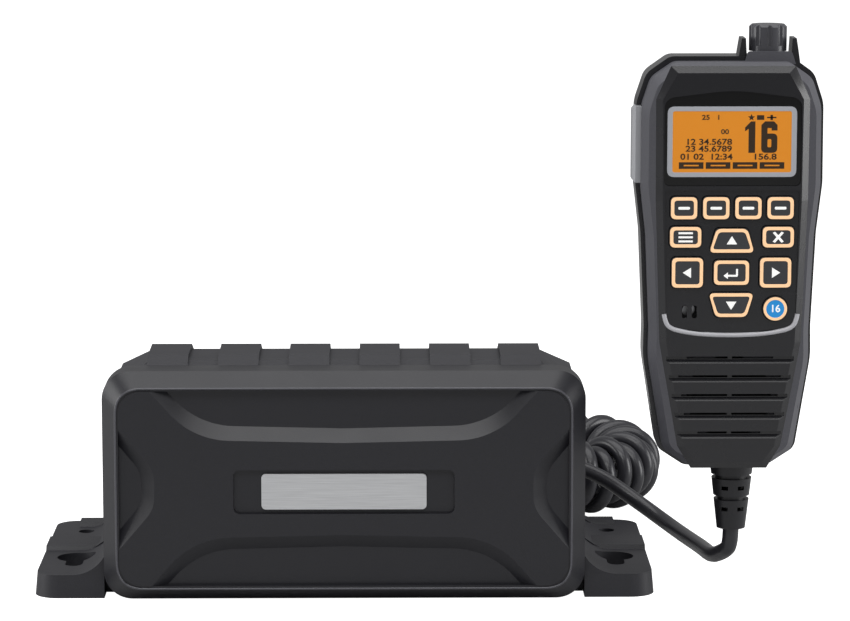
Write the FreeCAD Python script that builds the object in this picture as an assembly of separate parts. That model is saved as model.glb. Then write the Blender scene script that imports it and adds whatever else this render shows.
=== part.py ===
import FreeCAD, Part
import math
import os

"""Marine VHF radio: a black-box transceiver with mounting flanges, and its handset on a curly cord.

Millimetres. X runs to the right, Y away from the viewer, Z up. The origin is on the resting face,
in the middle of the transceiver. Heights are Z, and depths are measured from the cover's front face.
"""

V = FreeCAD.Vector

# Transceiver: overall sizes
CASE_DEPTH = 110.0
FLANGE_SPAN = 230.3
BODY_WIDTH = 174.0
BODY_TOP = 86.3
SHOULDER_TOP_WIDTH = 145.0
SHOULDER_FOOT_Z = 74.5
REAR_TOP_Z = 68.0
CASE_WALL = 3.5
CASE_FLOOR = 4.0

# Cooling ribs on the roof
RIB_COUNT = 6
RIB_PITCH = 26.2
RIB_WIDTH = 15.1
RIB_HEIGHT = 1.9
RIB_CREST_FROM = 29.0
RIB_CREST_TO = 54.0
RIB_SLOPE = 8.0

# Front cover
COVER_WIDTH = 177.4
COVER_HEIGHT = 85.2
COVER_LIFT = 0.5
COVER_RADIUS = 10.5
COVER_DEPTH = 20.0
BEVEL_DEPTH = 7.5
BEVEL_INSET = 5.2
COVER_WALL = 2.6
PANEL_GROOVE = 0.7
FIELD_DEPTH = 3.0
FIELD_BAND = 4.9
FIELD_BEYOND = 6.5
FIELD_TURN_INSET = 33.7
FIELD_RADIUS = 30.0
COVER_GAP = 0.15

# Badge
BADGE_WIDTH = 60.4
BADGE_HEIGHT = 13.2
BADGE_THICK = 1.2
BADGE_Z = 42.0
RECESS_WIDTH = 81.0
RECESS_HEIGHT = 16.4
RECESS_DEPTH = 1.9

# Mounting flanges
FLANGE_THICK = 8.6
FLANGE_FRONT = 10.2
FLANGE_REAR = CASE_DEPTH - 3.0
FLANGE_CORNER = 9.0
FLANGE_DRAFT = 0.8
FLANGE_FILLET = 14.0
RIDGE_HEIGHT = 1.6
RIDGE_FROM = 52.0
RIDGE_TO = 72.0
REAR_RIDGE_FROM = 94.0
SCREW_SPAN = 203.4
KEYHOLE_DEPTH = 41.0
KEYHOLE_RADIUS = 7.3
KEY_SLOT_WIDTH = 6.6
KEY_SLOT_LENGTH = 11.5
REAR_HOLE_DEPTH = 86.5
REAR_HOLE_RADIUS = 3.05

# Long screws that hold the cover
LONG_SCREW_RADIUS = 1.5
LONG_SCREW_HEAD_RADIUS = 2.9
LONG_SCREW_HEAD = 2.2
BOSS_RADIUS = 4.2
BOSS_LENGTH_IN_COVER = 4.0
BOSS_SPACE = 0.8
STUD_CLEARANCE = 0.3
BOSS_INSET_X = 8.0
BOSS_LOW_Z = 12.0
BOSS_HIGH_Z = 58.0
SCREW_CLEARANCE = 0.15

# Boards inside
BOARD_THICK = 1.6
BOARD_WIDTH = 146.0
BOARD_GAP_FRONT = 4.0
BOARD_GAP_REAR = 4.5
BOARD_DEPTH = CASE_DEPTH - CASE_WALL - BOARD_GAP_REAR - BOARD_GAP_FRONT - COVER_DEPTH
BOARD_Z = 22.0
POST_RADIUS = 3.6
BOARD_SCREW_RADIUS = 1.4
BOARD_SCREW_HEAD = 1.6
CAN_WIDTH = 56.0
CAN_DEPTH = 40.0
CAN_HEIGHT = 13.0
MODULE_WIDTH = 60.0
MODULE_DEPTH = 22.0
MODULE_HEIGHT = 10.0

# Rear sockets
SOCKET_Z = 40.0
ANTENNA_Z = 52.5
ANTENNA_X = 52.0
ANTENNA_PLATE = 25.4
ANTENNA_BARREL_RADIUS = 7.9
ANTENNA_BARREL_LENGTH = 16.0
ANTENNA_BORE_RADIUS = 2.0
POWER_X = 18.0
ACCESSORY_X = -8.0
GLAND_RADIUS = 6.5
GLAND_BORE_RADIUS = 1.9
GLAND_LENGTH = 6.0
GLAND_Z = 24.0
MIC_X = -44.0
MIC_SOCKET_RADIUS = 8.4
MIC_SOCKET_LENGTH = 9.0
PLUG_RADIUS = 6.4
PLUG_LENGTH = 19.0
RING_RADIUS = 11.0
RING_LENGTH = 13.0
PLUG_BOOT_LENGTH = 15.0
PLUG_BOOT_RADIUS = 5.6
RUNNING = 0.05

# Cord
CORD_DIAMETER = 6.0
COIL_RADIUS = 11.0
COIL_STAGGER = 2.2
COIL_TURNS = 36
COIL_PITCH = 6.85
BEND_RADIUS = 37.0
BEND_X = 79.5
COIL_FRONT_DEPTH = 151.5
COIL_FLOOR_GAP = 0.1

# Handset: overall sizes
HAND_X = 140.9
HAND_BOTTOM = 48.8
HAND_HEIGHT = 151.3
HAND_WIDTH = 68.6
HAND_FRONT = 2.0
PANEL_THICK = 3.0
FRONT_CASE_DEPTH = 13.0
REAR_CASE_DEPTH = 19.5
HAND_WALL = 2.2
SIDE_STEP = 1.6
SEAL_THICK = 0.8
PANEL_SEAT = 1.4

# Display
WINDOW_HALF_WIDTH = 27.2
WINDOW_LOW = 105.4
WINDOW_HIGH = 140.2
WINDOW_SINK = 0.7
WINDOW_THICK = 1.4
LCD_WIDTH = 46.8
LCD_HEIGHT = 25.6
LCD_MID = 120.7
LCD_THICK = 3.0

# Keys: offsets from the handset's middle and bottom
SOFT_KEY = (9.8, 8.3)
SOFT_KEY_UP = 97.4
SOFT_KEY_PITCH = 11.65
SIDE_KEY = (11.6, 7.8)
SIDE_KEY_OUT = 16.8
SIDE_KEY_UP = 86.8
CHANNEL_KEY = (16.6, 9.0)
CHANNEL_KEY_TAPER = 2.6
CHANNEL_UP = 85.5
CHANNEL_DOWN = 61.9
ARROW_KEY = (11.6, 11.2)
ARROW_KEY_OUT = 16.0
ARROW_KEY_UP = 73.8
CENTRE_KEY = (13.0, 9.2)
CENTRE_KEY_UP = 73.8
ROUND_KEY_RADIUS = 4.5
ROUND_KEY_OUT = 16.1
ROUND_KEY_UP = 60.5
KEY_FIELD_HALF = 23.6
KEY_FIELD_LOW = 50.6
KEY_PROUD = 1.3
KEY_GAP = 0.35
KEY_RADIUS = 1.6
KEY_FOOT = 1.1
KEY_REST = 0.3
KEY_TRAVEL = 0.6
MAT_THICK = 1.0
MAT_LAP = 0.8
MIC_SLOT_OUT = -15.0
MIC_SLOT_UP = 59.2
MIC_SLOT_PITCH = 3.6
MIC_SLOT = (1.8, 4.6)

# Speaker and grille
GRILLE_COUNT = 5
GRILLE_PITCH = 6.95
GRILLE_TOP = 41.4
GROOVE_HEIGHT = 3.0
GROOVE_DEPTH = 1.3
SLIT_HEIGHT = 1.0
SLIT_BRIDGE = 1.6
GROOVE_TOP_HALF = 23.3
GROOVE_BOTTOM_HALF = 19.0
SPEAKER_RADIUS = 17.0
SPEAKER_DEPTH = 3.2
MAGNET_RADIUS = 9.0
MAGNET_DEPTH = 5.0
SPEAKER_UP = 27.5
CAPSULE_RADIUS = 2.4
CAPSULE_DEPTH = 2.6
BOARD_SETBACK = 3.6
HAND_BOARD_THICK = 1.2

# Transmit key
PTT_LENGTH = 27.8
PTT_WIDTH = 10.0
PTT_PROUD = 1.6
PTT_TRAVEL = 1.2
PTT_MID = 119.5
PTT_THICK = 3.4
PTT_GAP = 0.35
SWITCH_SIZE = 6.0
SWITCH_THICK = 3.4

# Volume knob
KNOB_OUT = 14.2
KNOB_RADIUS = 6.9
KNOB_HEIGHT = 9.7
KNOB_LIFT = 1.6
KNOB_LIP_HEIGHT = 1.9
KNOB_LIP_THICK = 1.6
KNOB_FLUTES = 10
FLUTE_RADIUS = 1.1
SHAFT_RADIUS = 3.0
PLUNGER_RADIUS = 1.6
KNOB_PRESS = 0.8
ENCODER_SIZE = 9.0
ENCODER_HEIGHT = 6.0
GUARD_THICK = 2.9
GUARD_GAP = 1.0
GUARD_HEIGHT = 6.4
GUARD_DEPTH = 11.0

# Back of the handset
STUD_RADIUS = 7.5
STUD_NECK_RADIUS = 4.5
STUD_NECK = 3.0
STUD_HEAD = 2.2
STUD_UP = 62.0
HAND_SCREW_RADIUS = 1.3
HAND_SCREW_HEAD_RADIUS = 2.4
HAND_SCREW_HEAD = 1.5
HAND_BOSS_RADIUS = 3.2
HAND_SCREW_OUT = 22.4
HAND_SCREW_LOW = 24.0
HAND_SCREW_HIGH = 136.0
DISTRESS_UP = 112.0
DISTRESS_RADIUS = 5.0
DISTRESS_PROUD = 1.0
DISTRESS_TRAVEL = 0.8
POCKET_DEPTH = 3.2
FLAP_WIDTH = 17.0
FLAP_HEIGHT = 18.0
FLAP_THICK = 1.2
FLAP_GAP = 0.5
PIN_RADIUS = 0.8
KNUCKLE_RADIUS = 1.7

# Strain relief under the handset
RELIEF_X = 2.7
RELIEF_DEPTH = 19.0
RELIEF_TOP_RADIUS = 8.0
RELIEF_FOOT_RADIUS = 5.3
RELIEF_LENGTH = 24.2
RELIEF_ROOT = 6.0
RELIEF_SEGMENTS = 3
RELIEF_CUT = 1.5


FRONT_Y = -CASE_DEPTH / 2
REAR_Y = CASE_DEPTH / 2


def at_depth(depth):
    """The Y of a depth behind the cover's front face."""
    return FRONT_Y + depth


def box(x, y, z):
    """A block from three (low, high) pairs."""
    return Part.makeBox(x[1] - x[0], y[1] - y[0], z[1] - z[0], V(x[0], y[0], z[0]))


def rod(centre, axis, radius, length):
    """A cylinder that starts at centre and runs along axis."""
    return Part.makeCylinder(radius, length, V(*centre), V(*axis))


def corner_arc(before, point, after, radius):
    """The tangent points and the middle of the arc that rounds a corner."""
    a = (before - point).normalize()
    b = (after - point).normalize()
    half = a.getAngle(b) / 2
    reach = radius / math.tan(half)
    centre = point + (a + b).normalize() * (radius / math.sin(half))
    middle = centre + (point - centre).normalize() * radius
    return point + a * reach, middle, point + b * reach


def outline(points, radius):
    """A closed wire through points, each corner rounded by radius or by its own one."""
    count = len(points)
    radii = radius if isinstance(radius, (list, tuple)) else [radius] * count
    edges = []
    last = None
    first = None
    for i in range(count):
        point = V(*points[i])
        if radii[i] > 0:
            start, middle, end = corner_arc(V(*points[i - 1]), point, V(*points[(i + 1) % count]), radii[i])
        else:
            start = end = point
        if last is not None and last.distanceToPoint(start) > 1e-6:
            edges.append(Part.LineSegment(last, start).toShape())
        if radii[i] > 0:
            edges.append(Part.Arc(start, middle, end).toShape())
        first = start if first is None else first
        last = end
    if last.distanceToPoint(first) > 1e-6:
        edges.append(Part.LineSegment(last, first).toShape())
    return Part.Wire(edges)


def facing(points, depth):
    """Points of an X-Z outline, placed at a depth."""
    return [(x, at_depth(depth), z) for x, z in points]


def slab(points, radius, depth, thick):
    """An X-Z outline made solid from one depth over a thickness."""
    face = Part.Face(outline(facing(points, depth), radius))
    return face.extrude(V(0, thick, 0))


def side_slab(points, x_low, x_high):
    """A Y-Z outline made solid between two X."""
    face = Part.Face(outline([(x_low, y, z) for y, z in points], 0))
    return face.extrude(V(x_high - x_low, 0, 0))


def oblong(mid_x, mid_z, width, height):
    """The four corners of a rectangle in the X-Z plane."""
    half_w = width / 2
    half_h = height / 2
    return [
        (mid_x - half_w, mid_z - half_h),
        (mid_x + half_w, mid_z - half_h),
        (mid_x + half_w, mid_z + half_h),
        (mid_x - half_w, mid_z + half_h),
    ]


def mirrored(points, mid_x):
    """A closed outline from its right half, given from the top down."""
    right = [(mid_x + x, z) for x, z in points]
    left = [(mid_x - x, z) for x, z in reversed(points)]
    return right + left


def tapered(points, radius, depth, shrunk, shrunk_radius, thick):
    """A ruled body from an X-Z outline at a depth to a second one further back."""
    wires = [outline(facing(points, depth), radius), outline(facing(shrunk, depth + thick), shrunk_radius)]
    return Part.makeLoft(wires, True, True)


def save(name, shape):
    """Write one node."""
    if isinstance(shape, list):
        shape = Part.makeCompound(shape)
    shape.exportStep("parts/" + name + ".step")
    print(name, len(shape.Solids), "solids,", round(shape.Volume, 1), "mm3, valid", shape.isValid())


# Transceiver

BODY_FRONT = 3.0 + BEVEL_DEPTH
BOSS_FRONT = COVER_DEPTH - BOSS_LENGTH_IN_COVER
STUD_END = BOSS_FRONT - BOSS_SPACE
COVER_MID_Z = COVER_LIFT + COVER_HEIGHT / 2


def body_section(inset):
    """The body's outline across, drawn in by inset."""
    half = BODY_WIDTH / 2 - inset
    half_top = SHOULDER_TOP_WIDTH / 2 - inset * 0.45
    top = BODY_TOP - inset
    return mirrored([(half_top, top), (half, SHOULDER_FOOT_Z - inset * 0.45), (half, 0)], 0)


def roof_trim(rise):
    """What lies above the roof's side profile: a slope up, a level crest and a fall to the rear."""
    crest = BODY_TOP + rise
    high = BODY_TOP + 40
    far = BODY_WIDTH
    points = [
        (at_depth(-1), crest - 5.0),
        (at_depth(RIB_CREST_FROM - RIB_SLOPE), crest - 4.0),
        (at_depth(RIB_CREST_FROM), crest),
        (at_depth(RIB_CREST_TO), crest),
        (at_depth(CASE_DEPTH + 1), REAR_TOP_Z + rise),
        (at_depth(CASE_DEPTH + 1), high),
        (at_depth(-1), high),
    ]
    return side_slab(points, -far, far)


def boss_places():
    """X and Z of the four bosses for the cover's long screws."""
    out = BODY_WIDTH / 2 - BOSS_INSET_X
    return [(side * out, z) for side in (-1, 1) for z in (BOSS_LOW_Z, BOSS_HIGH_Z)]


def stud_rooms():
    """The room that the cover's four studs need inside the case's lip and the gasket."""
    length = STUD_END + BOSS_SPACE / 2 - BODY_FRONT + 1
    return [rod((x, at_depth(BODY_FRONT - 1), z), (0, 1, 0), BOSS_RADIUS + STUD_CLEARANCE, length)
            for x, z in boss_places()]


def post_places():
    """X and Y of the four board posts."""
    out = BOARD_WIDTH / 2 - 6.0
    deep = BOARD_DEPTH / 2 - 6.0
    return [(x, BOARD_MID_Y + y) for x in (-out, out) for y in (-deep, deep)]


BOARD_MID_Y = at_depth(COVER_DEPTH + BOARD_GAP_FRONT + BOARD_DEPTH / 2)
REAR_WALL_DEPTH = CASE_DEPTH - CASE_WALL


def flange(side):
    """One mounting flange with rounded corners, ridges and the hollow fillet up the case's side."""
    inner = side * (BODY_WIDTH / 2 - 4.0)
    outer = side * FLANGE_SPAN / 2
    front = at_depth(FLANGE_FRONT)
    rear = at_depth(FLANGE_REAR)
    knee = outer - side * FLANGE_CORNER
    step = FLANGE_THICK
    slope = FLANGE_DRAFT
    low = [(inner, front, 0), (outer, front, 0), (outer, rear, 0), (inner, rear, 0)]
    high = [(inner, front + slope, step), (outer - side * slope, front + slope, step),
            (outer - side * slope, rear - slope, step), (inner, rear - slope, step)]
    corners = [0, FLANGE_CORNER, FLANGE_CORNER, 0]
    tight = [0, FLANGE_CORNER - slope, FLANGE_CORNER - slope, 0]
    solid = Part.makeLoft([outline(low, corners), outline(high, tight)], True, True)
    wall = side * BODY_WIDTH / 2
    reach = FLANGE_FILLET
    near = reach * (1 - math.cos(math.pi / 4))
    start = V(wall, 0, step + reach)
    middle = V(wall + side * near, 0, step + near)
    end = V(wall + side * reach, 0, step)
    sides = [Part.Arc(start, middle, end).toShape()]
    points = [end, V(end.x, 0, step - 1.0), V(inner, 0, step - 1.0), V(inner, 0, step + reach), start]
    sides += [Part.LineSegment(p, q).toShape() for p, q in zip(points, points[1:])]
    fillet = Part.Face(Part.Wire(sides))
    fillet.translate(V(0, front + slope, 0))
    solid = solid.fuse(fillet.extrude(V(0, rear - front - 2 * slope, 0)))
    for start, end in ((RIDGE_FROM, RIDGE_TO), (REAR_RIDGE_FROM, FLANGE_REAR - 1.0)):
        profile = [(at_depth(start), step - 1.0), (at_depth(start + 1.6), step + RIDGE_HEIGHT),
                   (at_depth(end - 1.6), step + RIDGE_HEIGHT), (at_depth(end), step - 1.0)]
        edge = sorted([inner, knee - side * 1.0 if end > RIDGE_TO else outer - side * 0.8])
        solid = solid.fuse(side_slab(profile, edge[0], edge[1]))
        wedge = [(inner, at_depth(start + 1.0), step - 1.0), (inner, at_depth(start + 1.0), step + 10.0),
                 (inner + side * 16.0, at_depth(start + 1.0), step - 1.0)]
        solid = solid.fuse(Part.Face(outline(wedge, 0)).extrude(V(0, 3.0, 0)))
    return solid


def keyhole(side):
    """The cut for a keyhole: a round part for the screw's head and a slot to the front for its neck."""
    x = side * SCREW_SPAN / 2
    y = at_depth(KEYHOLE_DEPTH)
    end = y - KEY_SLOT_LENGTH
    half = KEY_SLOT_WIDTH / 2
    high = FLANGE_THICK + 20
    cut = rod((x, y, -1), (0, 0, 1), KEYHOLE_RADIUS, high)
    cut = cut.fuse(box((x - half, x + half), (end, y), (-1, high - 1)))
    return cut.fuse(rod((x, end, -1), (0, 0, 1), half, high))


def make_chassis():
    """The die-cast case: walls, roof with ribs, flanges, screw bosses and board posts."""
    depth = CASE_DEPTH - BODY_FRONT
    body = slab(body_section(0), 0, BODY_FRONT, depth).cut(roof_trim(0))
    first = -(RIB_COUNT - 1) / 2 * RIB_PITCH
    for i in range(RIB_COUNT):
        x = first + i * RIB_PITCH
        rib = box((x - RIB_WIDTH / 2, x + RIB_WIDTH / 2), (at_depth(BODY_FRONT + 3), REAR_Y),
                  (REAR_TOP_Z - 10, BODY_TOP + RIB_HEIGHT)).cut(roof_trim(RIB_HEIGHT))
        body = body.fuse(rib)
    for side in (-1, 1):
        body = body.fuse(flange(side))
    # the front lip that the cover slides over
    lip_half = COVER_WIDTH / 2 - COVER_WALL - COVER_GAP
    lip_top = COVER_LIFT + COVER_HEIGHT - COVER_WALL - COVER_GAP
    lip_low = COVER_LIFT + COVER_WALL + COVER_GAP
    lip_radius = COVER_RADIUS - COVER_WALL * 0.35
    keep = slab([(-lip_half, lip_low), (lip_half, lip_low), (lip_half, lip_top), (-lip_half, lip_top)],
                lip_radius, 0, COVER_DEPTH + COVER_GAP)
    front_zone = box((-FLANGE_SPAN, FLANGE_SPAN), (at_depth(-1), at_depth(COVER_DEPTH + COVER_GAP)),
                     (-1, BODY_TOP + 40))
    reach = COVER_WIDTH / 2 + COVER_GAP
    outer_zone = front_zone.common(box((-reach, reach), (at_depth(-1), REAR_Y), (-1, BODY_TOP + 40)))
    body = body.cut(outer_zone.cut(keep))
    # the hollow, open to the front
    hollow = slab(body_section(CASE_WALL), 0, BODY_FRONT - 1, REAR_WALL_DEPTH - BODY_FRONT + 1)
    hollow = hollow.cut(roof_trim(-CASE_WALL))
    hollow = hollow.common(box((-BODY_WIDTH, BODY_WIDTH), (FRONT_Y, REAR_Y), (CASE_FLOOR, BODY_TOP)))
    lip_inner = slab([(-lip_half + 3, lip_low + 3), (lip_half - 3, lip_low + 3), (lip_half - 3, lip_top - 3),
                      (-lip_half + 3, lip_top - 3)], lip_radius - 2, 0, COVER_DEPTH + 2)
    front_cut = box((-BODY_WIDTH, BODY_WIDTH), (FRONT_Y, at_depth(COVER_DEPTH + 2)), (-1, BODY_TOP + 9))
    hollow = hollow.cut(front_cut).fuse(hollow.common(lip_inner))
    body = body.cut(hollow)
    for stud_room in stud_rooms():
        body = body.cut(stud_room)
    for x, z in boss_places():
        boss = rod((x, at_depth(BOSS_FRONT), z), (0, 1, 0), BOSS_RADIUS, CASE_DEPTH - BOSS_FRONT - 1.0)
        body = body.fuse(boss)
    for x, y in post_places():
        body = body.fuse(rod((x, y, CASE_FLOOR - 1), (0, 0, 1), POST_RADIUS, BOARD_Z - CASE_FLOOR + 1))
    for x, z in boss_places():
        body = body.cut(rod((x, FRONT_Y, z), (0, 1, 0), LONG_SCREW_RADIUS + SCREW_CLEARANCE, CASE_DEPTH + 2))
        head = LONG_SCREW_HEAD_RADIUS + SCREW_CLEARANCE
        body = body.cut(rod((x, REAR_Y - LONG_SCREW_HEAD - 0.4, z), (0, 1, 0), head, 10))
    for x, y in post_places():
        body = body.cut(rod((x, y, CASE_FLOOR + 2), (0, 0, 1), BOARD_SCREW_RADIUS, BOARD_Z))
    for side in (-1, 1):
        body = body.cut(keyhole(side))
        x = side * SCREW_SPAN / 2
        body = body.cut(rod((x, at_depth(REAR_HOLE_DEPTH), -1), (0, 0, 1), REAR_HOLE_RADIUS, 40))
    for x, z, radius in ((ANTENNA_X, ANTENNA_Z, ANTENNA_BARREL_RADIUS), (MIC_X, SOCKET_Z, MIC_SOCKET_RADIUS),
                         (POWER_X, GLAND_Z, GLAND_RADIUS), (ACCESSORY_X, GLAND_Z, GLAND_RADIUS)):
        body = body.cut(rod((x, at_depth(REAR_WALL_DEPTH - 1), z), (0, 1, 0), radius + COVER_GAP, CASE_WALL + 9))
    for x, z in antenna_screw_places():
        body = body.cut(rod((x, at_depth(REAR_WALL_DEPTH - 1), z), (0, 1, 0), BOARD_SCREW_RADIUS, 9))
    return body.removeSplitter()


def antenna_screw_places():
    """X and Z of the four screws round the antenna socket."""
    out = ANTENNA_PLATE / 2 - 3.4
    return [(ANTENNA_X + a * out, ANTENNA_Z + b * out) for a in (-1, 1) for b in (-1, 1)]


def rounded_cover(inset):
    """The cover's outline drawn in by inset, and its corner radius."""
    half = COVER_WIDTH / 2 - inset
    low = COVER_LIFT + inset
    high = COVER_LIFT + COVER_HEIGHT - inset
    return [(-half, low), (half, low), (half, high), (-half, high)], COVER_RADIUS - inset * 0.35


def make_cover():
    """The moulded front cover: bevelled rim, a face with four sunk fields, and the badge's recess."""
    outer, outer_radius = rounded_cover(0)
    front, front_radius = rounded_cover(BEVEL_INSET)
    inner, inner_radius = rounded_cover(COVER_WALL)
    solid = tapered(front, front_radius, 0, outer, outer_radius, BEVEL_DEPTH)
    solid = solid.fuse(slab(outer, outer_radius, BEVEL_DEPTH, COVER_DEPTH - BEVEL_DEPTH))
    hollow_from = FIELD_DEPTH + COVER_WALL + 1.0
    deep = slab(inner, inner_radius, BODY_FRONT - 0.5, COVER_DEPTH)
    shallow, shallow_radius = rounded_cover(BEVEL_INSET + COVER_WALL)
    solid = solid.cut(deep).cut(slab(shallow, shallow_radius, hollow_from, COVER_DEPTH))
    for x, z in boss_places():
        stud = rod((x, at_depth(hollow_from - 0.5), z), (0, 1, 0), BOSS_RADIUS, STUD_END + 0.5 - hollow_from)
        solid = solid.fuse(stud)
        drill = rod((x, at_depth(hollow_from + 0.5), z), (0, 1, 0), LONG_SCREW_RADIUS - 0.05, COVER_DEPTH)
        solid = solid.cut(drill)
    edge, edge_radius = rounded_cover(BEVEL_INSET + 0.4)
    groove, groove_radius = rounded_cover(BEVEL_INSET + 0.4 + PANEL_GROOVE)
    ring = slab(edge, edge_radius, -0.1, 0.6).cut(slab(groove, groove_radius, -0.2, 1.0))
    solid = solid.cut(ring)
    face_half = COVER_WIDTH / 2 - BEVEL_INSET - 0.4 - PANEL_GROOVE
    face_top = COVER_LIFT + COVER_HEIGHT - BEVEL_INSET - 0.4 - PANEL_GROOVE
    face_low = COVER_LIFT + BEVEL_INSET + 0.4 + PANEL_GROOVE
    keep = slab([(-face_half, face_low), (face_half, face_low), (face_half, face_top), (-face_half, face_top)],
                groove_radius, -1, FIELD_DEPTH + 2)
    for flip in (-1, 1):
        far = COVER_HEIGHT * 0.75
        reach = (COVER_HEIGHT / 2 - BEVEL_INSET) * 0.49
        out = COVER_WIDTH / 2 + FIELD_BEYOND
        turn = COVER_WIDTH / 2 - FIELD_TURN_INSET
        wide = [(-out, far), (-turn, reach), (0, reach - 1.2), (turn, reach), (out, far)]
        out = out - FIELD_BAND
        turn = turn - 2.0
        slim = [(-out, far), (-turn, reach + FIELD_BAND), (0, reach - 1.2 + FIELD_BAND),
                (turn, reach + FIELD_BAND), (out, far)]
        place = [(x, COVER_MID_Z + flip * z) for x, z in wide]
        drawn = [(x, COVER_MID_Z + flip * z) for x, z in slim]
        radii = [0, FIELD_RADIUS, 0, FIELD_RADIUS, 0]
        cut = tapered(place, radii, -0.01, drawn, radii, FIELD_DEPTH + 0.01)
        solid = solid.cut(cut.common(keep))
        edge_x = flip * (COVER_WIDTH / 2 - 19.4)
        out = flip * (COVER_WIDTH / 2 + 8.0)
        tall = COVER_HEIGHT * 0.46
        short = COVER_HEIGHT * 0.085
        wide = [(out, tall), (edge_x, short), (edge_x, -short), (out, -tall)]
        slim = [(out, tall - FIELD_BAND * 1.25), (edge_x + flip * FIELD_BAND, short - 1.4),
                (edge_x + flip * FIELD_BAND, 1.4 - short), (out, FIELD_BAND * 1.25 - tall)]
        place = [(x, COVER_MID_Z + z) for x, z in wide]
        drawn = [(x, COVER_MID_Z + z) for x, z in slim]
        radii = [0, 12, 12, 0]
        cut = tapered(place, radii, -0.01, drawn, radii, FIELD_DEPTH + 0.01)
        solid = solid.cut(cut.common(keep))
    recess = slab(oblong(0, BADGE_Z, RECESS_WIDTH, RECESS_HEIGHT), 2.4, -1, RECESS_DEPTH + 1)
    return solid.cut(recess).removeSplitter()


def make_gasket():
    """The square ring of rubber between the case's lip and the cover's inside."""
    lip_half = COVER_WIDTH / 2 - COVER_WALL - COVER_GAP - 0.6
    low = COVER_LIFT + COVER_WALL + COVER_GAP + 0.6
    high = COVER_LIFT + COVER_HEIGHT - COVER_WALL - COVER_GAP - 0.6
    gap = 0.5 - 2 * RUNNING
    points = [(-lip_half, low), (lip_half, low), (lip_half, high), (-lip_half, high)]
    inner = [(-lip_half + 2, low + 2), (lip_half - 2, low + 2), (lip_half - 2, high - 2),
             (-lip_half + 2, high - 2)]
    radius = COVER_RADIUS - COVER_WALL * 0.35 - 0.3
    ring = slab(points, radius, BODY_FRONT - 0.5 + RUNNING, gap)
    ring = ring.cut(slab(inner, radius - 1.5, BODY_FRONT - 1, gap + 2))
    for stud_room in stud_rooms():
        ring = ring.cut(stud_room)
    return ring


def make_long_screws():
    """Four long screws from the rear into the cover."""
    start = FIELD_DEPTH + COVER_WALL + 1.0 + 3.0
    screws = []
    for x, z in boss_places():
        shank = rod((x, at_depth(start), z), (0, 1, 0), LONG_SCREW_RADIUS - 0.05, CASE_DEPTH - start - 1.0)
        head_at = CASE_DEPTH - LONG_SCREW_HEAD - 0.4
        head = rod((x, at_depth(head_at), z), (0, 1, 0), LONG_SCREW_HEAD_RADIUS, LONG_SCREW_HEAD)
        slot = box((x - 1.9, x + 1.9), (REAR_Y - 1.4, REAR_Y), (z - 0.35, z + 0.35))
        cross = box((x - 0.35, x + 0.35), (REAR_Y - 1.4, REAR_Y), (z - 1.9, z + 1.9))
        screws.append(shank.fuse(head).cut(slot).cut(cross))
    return screws


def make_boards():
    """The main board with its shield, power module and screws."""
    half = BOARD_WIDTH / 2
    deep = BOARD_DEPTH / 2
    y = BOARD_MID_Y
    board = box((-half, half), (y - deep, y + deep), (BOARD_Z, BOARD_Z + BOARD_THICK))
    for px, py in post_places():
        board = board.cut(rod((px, py, 0), (0, 0, 1), BOARD_SCREW_RADIUS + SCREW_CLEARANCE, 99))
    save("main_board", board)
    top = BOARD_Z + BOARD_THICK
    can_x = -BOARD_WIDTH / 5
    can = box((can_x - CAN_WIDTH / 2, can_x + CAN_WIDTH / 2), (y - CAN_DEPTH / 2, y + CAN_DEPTH / 2),
              (top, top + CAN_HEIGHT))
    inside = box((can_x - CAN_WIDTH / 2 + 0.6, can_x + CAN_WIDTH / 2 - 0.6),
                 (y - CAN_DEPTH / 2 + 0.6, y + CAN_DEPTH / 2 - 0.6), (top - 1, top + CAN_HEIGHT - 0.6))
    save("shield_can", can.cut(inside))
    module_x = BOARD_WIDTH / 4
    module = box((module_x - MODULE_WIDTH / 2, module_x + MODULE_WIDTH / 2),
                 (y - MODULE_DEPTH / 2, y + MODULE_DEPTH / 2), (top, top + MODULE_HEIGHT))
    save("power_module", module)
    screws = []
    for px, py in post_places():
        shank = rod((px, py, CASE_FLOOR + 8), (0, 0, 1), BOARD_SCREW_RADIUS - 0.05, top - CASE_FLOOR - 8)
        head = rod((px, py, top), (0, 0, 1), BOARD_SCREW_RADIUS * 1.9, BOARD_SCREW_HEAD)
        screws.append(shank.fuse(head))
    save("board_screws", screws)


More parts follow.
